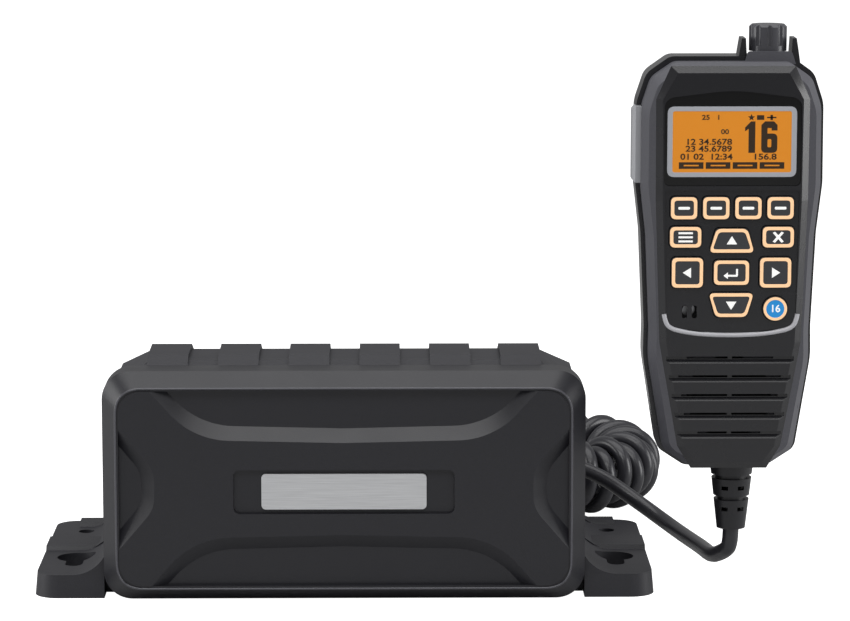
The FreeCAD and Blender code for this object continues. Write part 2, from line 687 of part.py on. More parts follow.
def make_rear_fittings():
    """Sockets and glands on the rear wall, and the cord's plug with its coupling ring."""
    half = ANTENNA_PLATE / 2
    plate = box((ANTENNA_X - half, ANTENNA_X + half), (REAR_Y, REAR_Y + 1.8),
                (ANTENNA_Z - half, ANTENNA_Z + half))
    barrel = rod((ANTENNA_X, at_depth(REAR_WALL_DEPTH - 3), ANTENNA_Z), (0, 1, 0), ANTENNA_BARREL_RADIUS,
                 ANTENNA_BARREL_LENGTH + CASE_WALL + 3)
    bore = rod((ANTENNA_X, REAR_Y + 4, ANTENNA_Z), (0, 1, 0), ANTENNA_BORE_RADIUS, ANTENNA_BARREL_LENGTH)
    socket = plate.fuse(barrel).cut(bore)
    for x, z in antenna_screw_places():
        socket = socket.cut(rod((x, REAR_Y - 1, z), (0, 1, 0), BOARD_SCREW_RADIUS + SCREW_CLEARANCE, 9))
    save("antenna_socket", socket)
    screws = []
    for x, z in antenna_screw_places():
        shank = rod((x, REAR_Y - CASE_WALL, z), (0, 1, 0), BOARD_SCREW_RADIUS - 0.05, CASE_WALL + 1.8)
        head = rod((x, REAR_Y + 1.8, z), (0, 1, 0), BOARD_SCREW_RADIUS * 1.9, BOARD_SCREW_HEAD)
        screws.append(shank.fuse(head))
    save("antenna_socket_screws", screws)
    for name, x in (("power_gland", POWER_X), ("accessory_gland", ACCESSORY_X)):
        sleeve = rod((x, REAR_Y - CASE_WALL - 1.5, GLAND_Z), (0, 1, 0), GLAND_RADIUS, CASE_WALL + 1.5 + GLAND_LENGTH)
        collar = rod((x, REAR_Y, GLAND_Z), (0, 1, 0), GLAND_RADIUS + 2.0, 2.0)
        drill = rod((x, REAR_Y, GLAND_Z), (0, 1, 0), GLAND_BORE_RADIUS, GLAND_LENGTH + 9)
        save(name, sleeve.fuse(collar).cut(drill))
    make_mic_plug()


def make_mic_plug():
    """The handset's socket, its plug, the coupling ring that turns on the plug, and the plug's boot."""
    axis = (0, 1, 0)
    socket = rod((MIC_X, REAR_Y - CASE_WALL - 2.0, SOCKET_Z), axis, MIC_SOCKET_RADIUS,
                 CASE_WALL + 2.0 + MIC_SOCKET_LENGTH)
    socket = socket.fuse(rod((MIC_X, REAR_Y, SOCKET_Z), axis, MIC_SOCKET_RADIUS + 3.0, 1.6))
    socket = socket.cut(rod((MIC_X, REAR_Y + 1.0, SOCKET_Z), axis, PLUG_RADIUS + COVER_GAP, 30))
    save("mic_socket", socket)
    plug = rod((MIC_X, REAR_Y + 1.4, SOCKET_Z), axis, PLUG_RADIUS, PLUG_LENGTH)
    save("mic_plug", plug)
    ring = rod((MIC_X, REAR_Y + 2.2, SOCKET_Z), axis, RING_RADIUS, RING_LENGTH)
    ring = ring.cut(rod((MIC_X, REAR_Y, SOCKET_Z), axis, MIC_SOCKET_RADIUS + RUNNING, 2.2 + MIC_SOCKET_LENGTH))
    ring = ring.cut(rod((MIC_X, REAR_Y, SOCKET_Z), axis, PLUG_RADIUS + RUNNING, 40))
    for i in range(12):
        angle = math.radians(30 * i)
        x = MIC_X + (RING_RADIUS + 0.3) * math.cos(angle)
        z = SOCKET_Z + (RING_RADIUS + 0.3) * math.sin(angle)
        ring = ring.cut(rod((x, REAR_Y + 3.2, z), axis, 0.9, RING_LENGTH - 2))
    save("coupling_ring", ring)
    boot = Part.makeCone(PLUG_BOOT_RADIUS, CORD_DIAMETER / 2 + 0.9, PLUG_BOOT_LENGTH,
                         V(MIC_X, REAR_Y + 1.4 + PLUG_LENGTH, SOCKET_Z), V(0, 1, 0))
    save("plug_boot", boot)


def make_transceiver():
    """All the pieces of the transceiver."""
    save("chassis", make_chassis())
    save("front_cover", make_cover())
    save("cover_gasket", make_gasket())
    badge = slab(oblong(0, BADGE_Z, BADGE_WIDTH, BADGE_HEIGHT), 1.6, RECESS_DEPTH - BADGE_THICK, BADGE_THICK)
    save("badge_plate", badge)
    save("cover_screws", make_long_screws())
    make_boards()
    make_rear_fittings()


# Cord

COIL_HEIGHT = COIL_RADIUS + COIL_STAGGER * math.sqrt(0.5) + CORD_DIAMETER / 2 + COIL_FLOOR_GAP
BEND_LENGTH = math.pi * BEND_RADIUS
STRAND_LENGTH = (COIL_TURNS * COIL_PITCH - BEND_LENGTH) / 2
COIL_END_X = BEND_X - STRAND_LENGTH
COIL_FRONT_Y = at_depth(COIL_FRONT_DEPTH)
PLUG_END_Y = REAR_Y + 1.4 + PLUG_LENGTH + PLUG_BOOT_LENGTH
RELIEF_FOOT_Z = HAND_BOTTOM - RELIEF_LENGTH


def coil_point(turn):
    """A point of the curly cord after so many turns: a helix round a level U-shaped axis.

    Each second turn stands out further on the inside of the bend, so that the turns pass each other.
    """
    run = turn * COIL_PITCH
    angle = math.pi / 2 + 2 * math.pi * turn
    radius = COIL_RADIUS + COIL_STAGGER * math.sin(angle / 2)
    out = radius * math.cos(angle)
    z = COIL_HEIGHT + radius * math.sin(angle)
    if run < STRAND_LENGTH:
        return V(COIL_END_X + run, COIL_FRONT_Y - out, z)
    if run > STRAND_LENGTH + BEND_LENGTH:
        back = BEND_X - (run - STRAND_LENGTH - BEND_LENGTH)
        return V(back, COIL_FRONT_Y + 2 * BEND_RADIUS + out, z)
    sweep = (run - STRAND_LENGTH) / BEND_RADIUS
    reach = BEND_RADIUS + out
    return V(BEND_X + reach * math.sin(sweep), COIL_FRONT_Y + BEND_RADIUS - reach * math.cos(sweep), z)


def coil_direction(turn):
    """The cord's direction there."""
    step = 1e-4
    return (coil_point(turn + step) - coil_point(turn - step)).normalize()


def biarc(start, start_way, end, end_way):
    """Two arcs that meet smoothly, from start to end with the given directions."""
    chord = end - start
    both = start_way + end_way
    a = 2 * (1 - start_way.dot(end_way))
    b = 2 * chord.dot(both)
    c = -chord.dot(chord)
    reach = -c / b if abs(a) < 1e-9 else (-b + math.sqrt(b * b - 4 * a * c)) / (2 * a)
    joint = (start + start_way * reach + end - end_way * reach) * 0.5
    edges = []
    for p, way, q in ((start, start_way, joint), (joint, None, end)):
        line = q - p
        if way is None:
            way = (end - end_way * reach - joint).normalize()
        normal = (line - way * line.dot(way)).normalize()
        radius = line.dot(line) / (2 * line.dot(normal))
        centre = p + normal * radius
        middle = centre + ((p + q) * 0.5 - centre).normalize() * radius
        edges.append(Part.Arc(p, middle, q).toShape())
    return edges


def swept(edges, radius):
    """A round tube along joined edges."""
    spine = Part.Wire(edges)
    first = spine.OrderedEdges[0]
    start = first.valueAt(first.FirstParameter)
    way = first.tangentAt(first.FirstParameter)
    ring = Part.Wire([Part.makeCircle(radius, start, way)])
    return spine.makePipeShell([ring], True, False)


def coil_edges():
    """The curly cord's line: half-turn biarcs, with a straight cord's thickness at each end."""
    count = 2 * COIL_TURNS
    places = [i / 2 for i in range(count + 1)]
    points = [coil_point(t) for t in places]
    ways = [coil_direction(t) for t in places]
    ways[0] = V(0, 1, 0)
    ways[-1] = V(0, -1, 0)
    edges = [Part.LineSegment(points[0] - ways[0] * CORD_DIAMETER, points[0]).toShape()]
    for i in range(count):
        edges += biarc(points[i], ways[i], points[i + 1], ways[i + 1])
    edges.append(Part.LineSegment(points[-1], points[-1] + ways[-1] * CORD_DIAMETER).toShape())
    return edges


def least_gap(edges):
    """The least clear distance from the tube to itself, measured on points along it."""
    points = []
    run = 0.0
    for edge in edges:
        count = max(2, int(edge.Length / 1.2))
        for i in range(count):
            share = i / count
            place = edge.FirstParameter + share * (edge.LastParameter - edge.FirstParameter)
            points.append((edge.valueAt(place), run + share * edge.Length))
        run += edge.Length
    best = 1e9
    for i, (p, s) in enumerate(points):
        for q, t in points[i + 12:i + 150]:
            if t - s > 3 * CORD_DIAMETER:
                best = min(best, p.distanceToPoint(q))
    return best - CORD_DIAMETER


def rounded_route(points, tight=()):
    """Straight runs joined by tangent arcs; tight lists the points with a chosen radius."""
    edges = []
    radii = []
    last = points[0]
    chosen = dict(tight)
    for i in range(1, len(points) - 1):
        before, here, after = points[i - 1], points[i], points[i + 1]
        turn = (here - before).getAngle(after - here)
        shorter = min((here - before).Length, (after - here).Length)
        radius = chosen.get(i, 0.45 * shorter / math.tan(turn / 2))
        start, middle, end = corner_arc(before, here, after, radius)
        edges.append(Part.LineSegment(last, start).toShape())
        edges.append(Part.Arc(start, middle, end).toShape())
        radii.append(round(radius, 1))
        last = end
    edges.append(Part.LineSegment(last, points[-1]).toShape())
    return edges, radii


def lead_points():
    """The cord from the handset's strain relief to the curly part."""
    x = HAND_X + RELIEF_X
    y = at_depth(RELIEF_DEPTH)
    start = coil_point(0)
    return [
        V(x, y, RELIEF_FOOT_Z),
        V(x, y, RELIEF_FOOT_Z - 7.0),
        V(x - 2.0, y + 4.0, 14.4),
        V(x - 5.6, y + 13.0, 10.6),
        V(136.6, at_depth(56), 8.4),
        V(132.6, at_depth(82), 6.8),
        V(127.6, at_depth(104), 6.9),
        V(116.2, at_depth(118), 13.2),
        V(98.0, at_depth(124), 25.2),
        V(72.0, at_depth(124), 31.5),
        V(45.0, at_depth(122), 32.5),
        V(24.0, at_depth(121.5), 30.0),
        V(start.x, start.y - 21.5, start.z),
        V(start.x, start.y - CORD_DIAMETER, start.z),
    ]


def tail_points():
    """The cord from the curly part to the plug's boot."""
    end = coil_point(COIL_TURNS)
    return [
        V(end.x, end.y - CORD_DIAMETER, end.z),
        V(end.x, end.y - 19.0, end.z),
        V(end.x - 10.0, end.y - 33.0, 13.0),
        V(end.x - 30.0, end.y - 37.0, 4.4),
        V(MIC_X + 7.0, PLUG_END_Y + 38.0, 7.0),
        V(MIC_X, PLUG_END_Y + 28.0, 23.0),
        V(MIC_X, PLUG_END_Y + 14.0, SOCKET_Z),
        V(MIC_X, PLUG_END_Y, SOCKET_Z),
    ]


def make_cord():
    """The free cord: the curly part, the lead to the handset and the tail to the plug."""
    radius = CORD_DIAMETER / 2
    edges = coil_edges()
    length = sum(e.Length for e in edges)
    print("coil: wire length", round(length, 1), "least gap", round(least_gap(edges), 3))
    print("coil: smallest arc", round(min(e.Curve.Radius for e in edges[1:-1]), 2))
    coil = swept(edges, radius)
    print("coil: volume over section times length", round(coil.Volume / (math.pi * radius ** 2 * length), 4))
    save("cord_coil", coil)
    for name, points in (("cord_lead", lead_points()), ("cord_tail", tail_points())):
        edges, radii = rounded_route(points)
        length = sum(e.Length for e in edges)
        tube = swept(edges, radius)
        share = tube.Volume / (math.pi * radius ** 2 * length)
        print(name, "length", round(length, 1), "volume share", round(share, 4), "radii", radii)
        save(name, tube)


# Handset

BACK_START = HAND_FRONT + FRONT_CASE_DEPTH + SEAL_THICK
CASE_START = HAND_FRONT + PANEL_THICK - PANEL_SEAT
BACK_END = BACK_START + REAR_CASE_DEPTH
TOP_Z = HAND_BOTTOM + HAND_HEIGHT
BOARD_DEPTH_FROM = HAND_FRONT + FRONT_CASE_DEPTH - BOARD_SETBACK
FRONT_HOLLOW = CASE_START + PANEL_SEAT + HAND_WALL
HOLLOW_END = BACK_END - HAND_WALL - POCKET_DEPTH - 1.0
KNOB_DEPTH = (BACK_START + HOLLOW_END) / 2
KNOB_Z = TOP_Z + KNOB_LIFT


def up(height):
    """A height above the handset's bottom, as Z."""
    return HAND_BOTTOM + height


def across(share):
    """A share of the handset's half width."""
    return share * HAND_WIDTH / 2


def along(share):
    """A Z at a share of the handset's height."""
    return up(share * HAND_HEIGHT)


def hand_outline(inset):
    """The handset's waisted outline, drawn in by inset."""
    half = [(across(0.641) - inset * 0.7, along(1.0) - inset),
            (across(0.892) - inset * 0.9, along(0.960) - inset * 0.8),
            (across(0.997) - inset, along(0.888) - inset * 0.5), (across(1.0) - inset, along(0.694)),
            (across(0.939) - inset, along(0.575)), (across(0.895) - inset, along(0.344)),
            (across(0.901) - inset, along(0.271)), (across(0.741) - inset, along(0.043) + inset * 0.6),
            (across(0.452) - inset * 0.4, along(0.0) + inset)]
    shares = [0.15, 0.2, 0.4, 0.6, 0.87, 0.87, 0.87, 0.15, 0.15]
    radii = [across(share) for share in shares]
    return mirrored(half, HAND_X), radii + radii[::-1]


def panel_outline(inset):
    """The smooth front panel's outline, drawn in by inset."""
    half = [(across(0.656) - inset, along(0.983) - inset), (across(0.811) - inset, along(0.904)),
            (across(0.805) - inset, along(0.661)), (across(0.752) - inset, along(0.317)),
            (across(0.551) - inset, along(0.063)), (across(0.405) - inset * 0.7, along(0.008) + inset)]
    return mirrored(half, HAND_X)


def key_list():
    """Each key: its node, its outline's four corners and the key's middle."""
    keys = []

    def oblong_key(name, out, high, size, foot=0.0, head=0.0):
        """A key with straight sides, whose foot or head may be narrower."""
        half_w = size[0] / 2
        half_h = size[1] / 2
        x = HAND_X + out
        z = up(high)
        keys.append((name, [(x - half_w + foot, z - half_h), (x + half_w - foot, z - half_h),
                            (x + half_w - head, z + half_h), (x - half_w + head, z + half_h)]))

    for i in range(4):
        oblong_key("soft_key_%d" % (i + 1), (i - 1.5) * SOFT_KEY_PITCH, SOFT_KEY_UP, SOFT_KEY)
    oblong_key("list_key", -SIDE_KEY_OUT, SIDE_KEY_UP, SIDE_KEY)
    oblong_key("cancel_key", SIDE_KEY_OUT, SIDE_KEY_UP, SIDE_KEY)
    oblong_key("up_key", 0, CHANNEL_UP, CHANNEL_KEY, 0, CHANNEL_KEY_TAPER)
    oblong_key("down_key", 0, CHANNEL_DOWN, CHANNEL_KEY, CHANNEL_KEY_TAPER, 0)
    oblong_key("left_key", -ARROW_KEY_OUT, ARROW_KEY_UP, ARROW_KEY)
    oblong_key("right_key", ARROW_KEY_OUT, ARROW_KEY_UP, ARROW_KEY)
    oblong_key("enter_key", 0, CENTRE_KEY_UP, CENTRE_KEY)
    return keys


KEY_BASE = HAND_FRONT + PANEL_THICK + KEY_FOOT
ROUND_KEY_X = HAND_X + ROUND_KEY_OUT


def grown(points, by):
    """A four-sided outline grown outwards by a distance."""
    mid_x = sum(p[0] for p in points) / len(points)
    mid_z = sum(p[1] for p in points) / len(points)
    return [(x + math.copysign(by, x - mid_x), z + math.copysign(by, z - mid_z)) for x, z in points]


def make_panel():
    """The smooth front panel: chamfered sides, window seat, key holes, ledge and louvred grille."""
    chamfer = 2.4
    front = panel_outline(chamfer)
    back = panel_outline(0)
    solid = tapered(front, 0, HAND_FRONT, back, 0, PANEL_THICK - PANEL_SEAT)
    edge_from = HAND_FRONT + PANEL_THICK - PANEL_SEAT - 0.2
    solid = solid.fuse(slab(panel_outline(0.6), 0, edge_from, PANEL_SEAT + 0.2))
    low = up(WINDOW_LOW)
    high = up(WINDOW_HIGH)
    x = HAND_X
    half = WINDOW_HALF_WIDTH - chamfer
    seat = slab([(x - half, low), (x + half, low), (x + half, high - 3.0), (x, high), (x - half, high - 3.0)],
                [2, 2, 4, 60, 4], HAND_FRONT - 1, 1 + WINDOW_SINK + WINDOW_THICK)
    solid = solid.cut(seat)
    solid = solid.cut(slab(oblong(x, up(LCD_MID), LCD_WIDTH - 2, LCD_HEIGHT - 2), 1, HAND_FRONT, 9))
    for name, points in key_list():
        solid = solid.cut(slab(grown(points, KEY_GAP), KEY_RADIUS + KEY_GAP, HAND_FRONT - 1, 9))
    hole = ROUND_KEY_RADIUS + KEY_GAP
    solid = solid.cut(rod((ROUND_KEY_X, at_depth(HAND_FRONT - 1), up(ROUND_KEY_UP)), (0, 1, 0), hole, 9))
    for i in (-0.5, 0.5):
        slot = oblong(x + MIC_SLOT_OUT + i * MIC_SLOT_PITCH, up(MIC_SLOT_UP), MIC_SLOT[0], MIC_SLOT[1])
        solid = solid.cut(slab(slot, 0.6, HAND_FRONT - 1, 9))
    # the field of keys lies lower than the rim below it
    key_half = KEY_FIELD_HALF
    field_low = up(KEY_FIELD_LOW)
    field_high = up(WINDOW_LOW - 1.6)
    solid = solid.cut(slab([(x - key_half, field_low + 3), (x, field_low), (x + key_half, field_low + 3),
                            (x + key_half + 0.8, field_high), (x - key_half - 0.8, field_high)],
                           [5, 90, 5, 1, 1], HAND_FRONT - 1, 1.8))
    for i in range(GRILLE_COUNT):
        z = up(GRILLE_TOP - i * GRILLE_PITCH)
        share = i / (GRILLE_COUNT - 1)
        wide = GROOVE_TOP_HALF + (GROOVE_BOTTOM_HALF - GROOVE_TOP_HALF) * share
        groove = side_slab([(at_depth(HAND_FRONT - 1), z - GROOVE_HEIGHT / 2 - 0.6),
                            (at_depth(HAND_FRONT + GROOVE_DEPTH), z + 0.2),
                            (at_depth(HAND_FRONT + GROOVE_DEPTH), z + GROOVE_HEIGHT / 2),
                            (at_depth(HAND_FRONT - 1), z + GROOVE_HEIGHT / 2)], x - wide, x + wide)
        solid = solid.cut(groove)
        slit_half = wide - (7.5 if i in (0, GRILLE_COUNT - 1) else 3.5)
        for side in (-1, 1):
            ends = sorted([x + side * SLIT_BRIDGE / 2, x + side * slit_half])
            slit = box(ends, (at_depth(HAND_FRONT), at_depth(HAND_FRONT + 9)),
                       (z + GROOVE_HEIGHT / 2 - SLIT_HEIGHT, z + GROOVE_HEIGHT / 2))
            solid = solid.cut(slit)
    return solid.removeSplitter()


def case_hole():
    """What is cut through the front case behind the panel: display, keys, speaker and microphone."""
    x = HAND_X
    cut = slab(oblong(x, up(LCD_MID), LCD_WIDTH + 3, LCD_HEIGHT + 3), 1, 0, 30)
    high = up(SOFT_KEY_UP + SOFT_KEY[1] / 2 + 1)
    low = up(ROUND_KEY_UP - ROUND_KEY_RADIUS - 1)
    reach = ROUND_KEY_OUT + ROUND_KEY_RADIUS + 3
    cut = cut.fuse(slab([(x - reach, low), (x + reach, low), (x + reach, high), (x - reach, high)], 1, 0, 30))
    return cut.fuse(rod((x, FRONT_Y, up(SPEAKER_UP)), (0, 1, 0), SPEAKER_RADIUS - 1.5, 30))


def knob_guards():
    """The two horns on the rear case, one each side of the knob."""
    x = HAND_X + KNOB_OUT
    y = at_depth(KNOB_DEPTH)
    horns = []
    for side in (-1, 1):
        inner = x + side * (KNOB_RADIUS + GUARD_GAP)
        outer = inner + side * GUARD_THICK
        tip = inner + side * GUARD_THICK * 0.45
        foot = outer + side * 0.8
        high = TOP_Z + GUARD_HEIGHT
        points = [(inner, y, TOP_Z - 4), (inner + side * 0.6, y, high), (tip + side * 0.8, y, high),
                  (outer, y, TOP_Z + 1.5), (foot, y, TOP_Z - 4.0)]
        horn = Part.Face(outline(points, 0)).extrude(V(0, GUARD_DEPTH, 0))
        horn.translate(V(0, -GUARD_DEPTH / 2, 0))
        horns.append(horn)
    return horns


def knob_lip():
    """The low wall on the front case that hides the gap under the knob."""
    x = HAND_X + KNOB_OUT
    half = KNOB_RADIUS + GUARD_GAP
    low = TOP_Z - SIDE_STEP - HAND_WALL / 2
    points = [(x - half - 1.5, low), (x + half + 1.5, low), (x + half, TOP_Z + KNOB_LIP_HEIGHT),
              (x - half, TOP_Z + KNOB_LIP_HEIGHT)]
    behind = HAND_FRONT + FRONT_CASE_DEPTH - SEAL_THICK / 2
    return slab(points, [0, 0, 1.0, 1.0], behind - KNOB_LIP_THICK, KNOB_LIP_THICK)


def make_front_case():
    """The grained front case: an open shell whose front is drawn in, with the panel's seat."""
    wide, radii = hand_outline(SIDE_STEP)
    slim, slim_radii = hand_outline(SIDE_STEP + 2.4)
    depth = HAND_FRONT + FRONT_CASE_DEPTH - CASE_START
    solid = tapered(slim, slim_radii, CASE_START, wide, radii, depth * 0.45)
    solid = solid.fuse(slab(wide, radii, CASE_START + depth * 0.45, depth * 0.55))
    inner, inner_radii = hand_outline(SIDE_STEP + 2.4 + HAND_WALL)
    solid = solid.cut(slab(inner, inner_radii, FRONT_HOLLOW, 30))
    for px, pz in hand_screw_places():
        length = BOARD_DEPTH_FROM - FRONT_HOLLOW + 0.5
        solid = solid.fuse(rod((px, at_depth(FRONT_HOLLOW - 0.5), pz), (0, 1, 0), HAND_BOSS_RADIUS, length))
        solid = solid.cut(rod((px, at_depth(FRONT_HOLLOW), pz), (0, 1, 0), HAND_SCREW_RADIUS, 30))
    solid = solid.cut(slab(panel_outline(0.6 - KEY_GAP / 2), 0, CASE_START - 1, 1 + PANEL_SEAT + 0.05))
    solid = solid.cut(case_hole()).fuse(knob_lip())
    return solid.cut(ptt_pocket()).cut(relief_hole()).removeSplitter()


def hand_screw_places():
    """X and Z of the four screws in the handset's back."""
    return [(HAND_X + side * HAND_SCREW_OUT, up(high)) for side in (-1, 1)
            for high in (HAND_SCREW_LOW, HAND_SCREW_HIGH)]


def ptt_side():
    """X of the handset's left side at the transmit key."""
    return HAND_X - across(0.997)


def ptt_pocket():
    """The pocket in the case's left side for the transmit key."""
    half = PTT_LENGTH / 2 + PTT_GAP
    deep = PTT_WIDTH / 2 + PTT_GAP
    y = at_depth(BACK_START)
    x = ptt_side()
    z = up(PTT_MID)
    inner = x + PTT_THICK - PTT_PROUD + PTT_TRAVEL + 0.4
    return box((x - 9, inner), (y - deep, y + deep), (z - half, z + half))


def make_rear_case():
    """The rear case: an open shell with the knob's horns, the distress key's pocket and screw holes."""
    wide, radii = hand_outline(0)
    slim, slim_radii = hand_outline(4.0)
    straight = REAR_CASE_DEPTH - 6.0
    solid = slab(wide, radii, BACK_START, straight)
    solid = solid.fuse(tapered(wide, radii, BACK_START + straight, slim, slim_radii, 6.0))
    for horn in knob_guards():
        solid = solid.fuse(horn)
    inner, inner_radii = hand_outline(HAND_WALL + 1.8)
    solid = solid.cut(slab(inner, inner_radii, BACK_START - 1, HOLLOW_END - BACK_START + 1))
    for px, pz in hand_screw_places():
        length = HOLLOW_END - BACK_START + 0.5
        solid = solid.fuse(rod((px, at_depth(BACK_START), pz), (0, 1, 0), HAND_BOSS_RADIUS, length))
    x = HAND_X + KNOB_OUT
    y = at_depth(KNOB_DEPTH)
    solid = solid.cut(rod((x, y, TOP_Z - 20), (0, 0, 1), SHAFT_RADIUS + RUNNING, 60))
    solid = solid.cut(rod((x, y, TOP_Z), (0, 0, 1), KNOB_RADIUS + 0.6, 30))
    solid = solid.cut(ptt_pocket())
    for px, pz in hand_screw_places():
        hole = HAND_SCREW_RADIUS + SCREW_CLEARANCE
        solid = solid.cut(rod((px, FRONT_Y, pz), (0, 1, 0), hole, 90))
        head = HAND_SCREW_HEAD_RADIUS + SCREW_CLEARANCE
        solid = solid.cut(rod((px, at_depth(BACK_END - HAND_SCREW_HEAD - 0.6), pz), (0, 1, 0), head, 9))
    solid = solid.cut(rod((HAND_X, FRONT_Y, up(STUD_UP)), (0, 1, 0), STUD_NECK_RADIUS - 1.4, 90))
    solid = solid.cut(relief_hole())
    z = up(DISTRESS_UP)
    pocket = slab(oblong(HAND_X, z, FLAP_WIDTH + 2 * FLAP_GAP, FLAP_HEIGHT + 2 * FLAP_GAP), 1.5,
                  BACK_END - POCKET_DEPTH, POCKET_DEPTH + 5)
    solid = solid.cut(pocket)
    solid = solid.cut(rod((HAND_X, FRONT_Y, z), (0, 1, 0), DISTRESS_RADIUS + KEY_GAP, 90))
    for side in (-1, 1):
        ear_x = sorted([HAND_X + side * (FLAP_WIDTH / 2 + FLAP_GAP), HAND_X + side * (FLAP_WIDTH / 2 - 2.2)])
        ear = box(ear_x, (at_depth(BACK_END - POCKET_DEPTH - 0.5), at_depth(HINGE_DEPTH)),
                  (HINGE_Z - KNUCKLE_RADIUS, HINGE_Z + KNUCKLE_RADIUS))
        eye = rod((ear_x[0], at_depth(HINGE_DEPTH), HINGE_Z), (1, 0, 0), KNUCKLE_RADIUS, ear_x[1] - ear_x[0])
        solid = solid.fuse(ear).fuse(eye)
    pin_hole = rod((HAND_X - FLAP_WIDTH, at_depth(HINGE_DEPTH), HINGE_Z), (1, 0, 0), PIN_RADIUS, 2 * FLAP_WIDTH)
    reach = FLAP_WIDTH / 2 + FLAP_GAP + 2.0
    pin_hole = pin_hole.common(box((HAND_X - reach, HAND_X + reach), (FRONT_Y, at_depth(90)), (0, 999)))
    return solid.cut(pin_hole).removeSplitter()


HINGE_Z = up(DISTRESS_UP) + FLAP_HEIGHT / 2 - KNUCKLE_RADIUS
HINGE_DEPTH = BACK_END + 0.4


def make_distress():
    """The guarded distress key on the back: key, sprung flap and hinge pin."""
    z = up(DISTRESS_UP)
    key_from = HOLLOW_END - KEY_GAP
    key_length = BACK_END - POCKET_DEPTH + DISTRESS_PROUD - key_from
    key = rod((HAND_X, at_depth(key_from), z), (0, 1, 0), DISTRESS_RADIUS, key_length)
    key = key.fuse(rod((HAND_X, at_depth(key_from - 1.0), z), (0, 1, 0), DISTRESS_RADIUS + 1.2, 1.0))
    save("distress_key", key)
    flap_low = z - FLAP_HEIGHT / 2
    flap_top = HINGE_Z - KNUCKLE_RADIUS - 0.4
    flap_mid = (flap_low + flap_top) / 2
    flap = slab(oblong(HAND_X, flap_mid, FLAP_WIDTH, flap_top - flap_low), 1.2, HINGE_DEPTH - FLAP_THICK / 2,
                FLAP_THICK)
    knuckle_half = FLAP_WIDTH / 2 - 2.2 - FLAP_GAP
    neck = box((HAND_X - knuckle_half, HAND_X + knuckle_half),
               (at_depth(HINGE_DEPTH - FLAP_THICK / 2), at_depth(HINGE_DEPTH + FLAP_THICK / 2)),
               (flap_top - 1.0, HINGE_Z))
    barrel = rod((HAND_X - knuckle_half, at_depth(HINGE_DEPTH), HINGE_Z), (1, 0, 0), KNUCKLE_RADIUS,
                 2 * knuckle_half)
    lift = box((HAND_X - 3.5, HAND_X + 3.5), (at_depth(HINGE_DEPTH), at_depth(HINGE_DEPTH + 1.6)),
               (flap_low, flap_low + 1.4))
    flap = flap.fuse(neck).fuse(barrel).fuse(lift)
    flap = flap.cut(rod((HAND_X - FLAP_WIDTH, at_depth(HINGE_DEPTH), HINGE_Z), (1, 0, 0), PIN_RADIUS + RUNNING,
                        2 * FLAP_WIDTH))
    save("distress_cover", flap)
    reach = FLAP_WIDTH / 2 + FLAP_GAP
    save("distress_hinge_pin", rod((HAND_X - reach, at_depth(HINGE_DEPTH), HINGE_Z), (1, 0, 0), PIN_RADIUS,
                                   2 * reach))


def relief_hole():
    """The hole in the rear case's foot for the strain relief."""
    place = (HAND_X + RELIEF_X, at_depth(RELIEF_DEPTH), HAND_BOTTOM - 5)
    return rod(place, (0, 0, 1), RELIEF_TOP_RADIUS - 1.6, 14)


def make_relief():
    """The strain relief: a flanged root and tapering segments parted by ring cuts with side openings."""
    x = HAND_X + RELIEF_X
    y = at_depth(RELIEF_DEPTH)
    body = Part.makeCone(RELIEF_FOOT_RADIUS, RELIEF_TOP_RADIUS, RELIEF_LENGTH, V(x, y, RELIEF_FOOT_Z), V(0, 0, 1))
    root = rod((x, y, HAND_BOTTOM), (0, 0, 1), RELIEF_TOP_RADIUS - 1.6 - RUNNING, RELIEF_ROOT)
    body = body.fuse(root)
    pitch = RELIEF_LENGTH / RELIEF_SEGMENTS
    for i in range(1, RELIEF_SEGMENTS):
        z = HAND_BOTTOM - 4.4 - (i - 1) * pitch
        share = (z - RELIEF_FOOT_Z) / RELIEF_LENGTH
        skin = RELIEF_FOOT_RADIUS + (RELIEF_TOP_RADIUS - RELIEF_FOOT_RADIUS) * share
        ring = rod((x, y, z - RELIEF_CUT / 2), (0, 0, 1), skin + 3, RELIEF_CUT)
        core = rod((x, y, z - RELIEF_CUT), (0, 0, 1), skin - 1.5, 2 * RELIEF_CUT)
        body = body.cut(ring.cut(core))
        low = z - pitch / 2
        tunnel = box((x - 4.2, x + 4.2), (y - 12, y + 12), (low - RELIEF_CUT / 2, low + RELIEF_CUT / 2))
        spine = box((x - 1.8, x + 1.8), (y - 13, y + 13), (low - RELIEF_CUT, low + RELIEF_CUT))
        middle = rod((x, y, low - RELIEF_CUT), (0, 0, 1), CORD_DIAMETER / 2 + 0.6, 2 * RELIEF_CUT)
        body = body.cut(tunnel.cut(spine).cut(middle))
    return body.removeSplitter()


def make_keys():
    """The key caps, each with the foot that keeps it behind the panel."""
    front = HAND_FRONT + 0.8 - KEY_PROUD
    length = KEY_BASE - front
    for name, points in key_list():
        cap = slab(points, KEY_RADIUS, front, length)
        foot = slab(grown(points, 0.8), KEY_RADIUS, KEY_BASE - KEY_FOOT + KEY_REST, KEY_FOOT - KEY_REST)
        save(name, cap.fuse(foot))
    z = up(ROUND_KEY_UP)
    cap = rod((ROUND_KEY_X, at_depth(front), z), (0, 1, 0), ROUND_KEY_RADIUS, length)
    foot = rod((ROUND_KEY_X, at_depth(KEY_BASE - KEY_FOOT + KEY_REST), z), (0, 1, 0), ROUND_KEY_RADIUS + 0.8,
               KEY_FOOT - KEY_REST)
    save("channel_16_key", cap.fuse(foot))


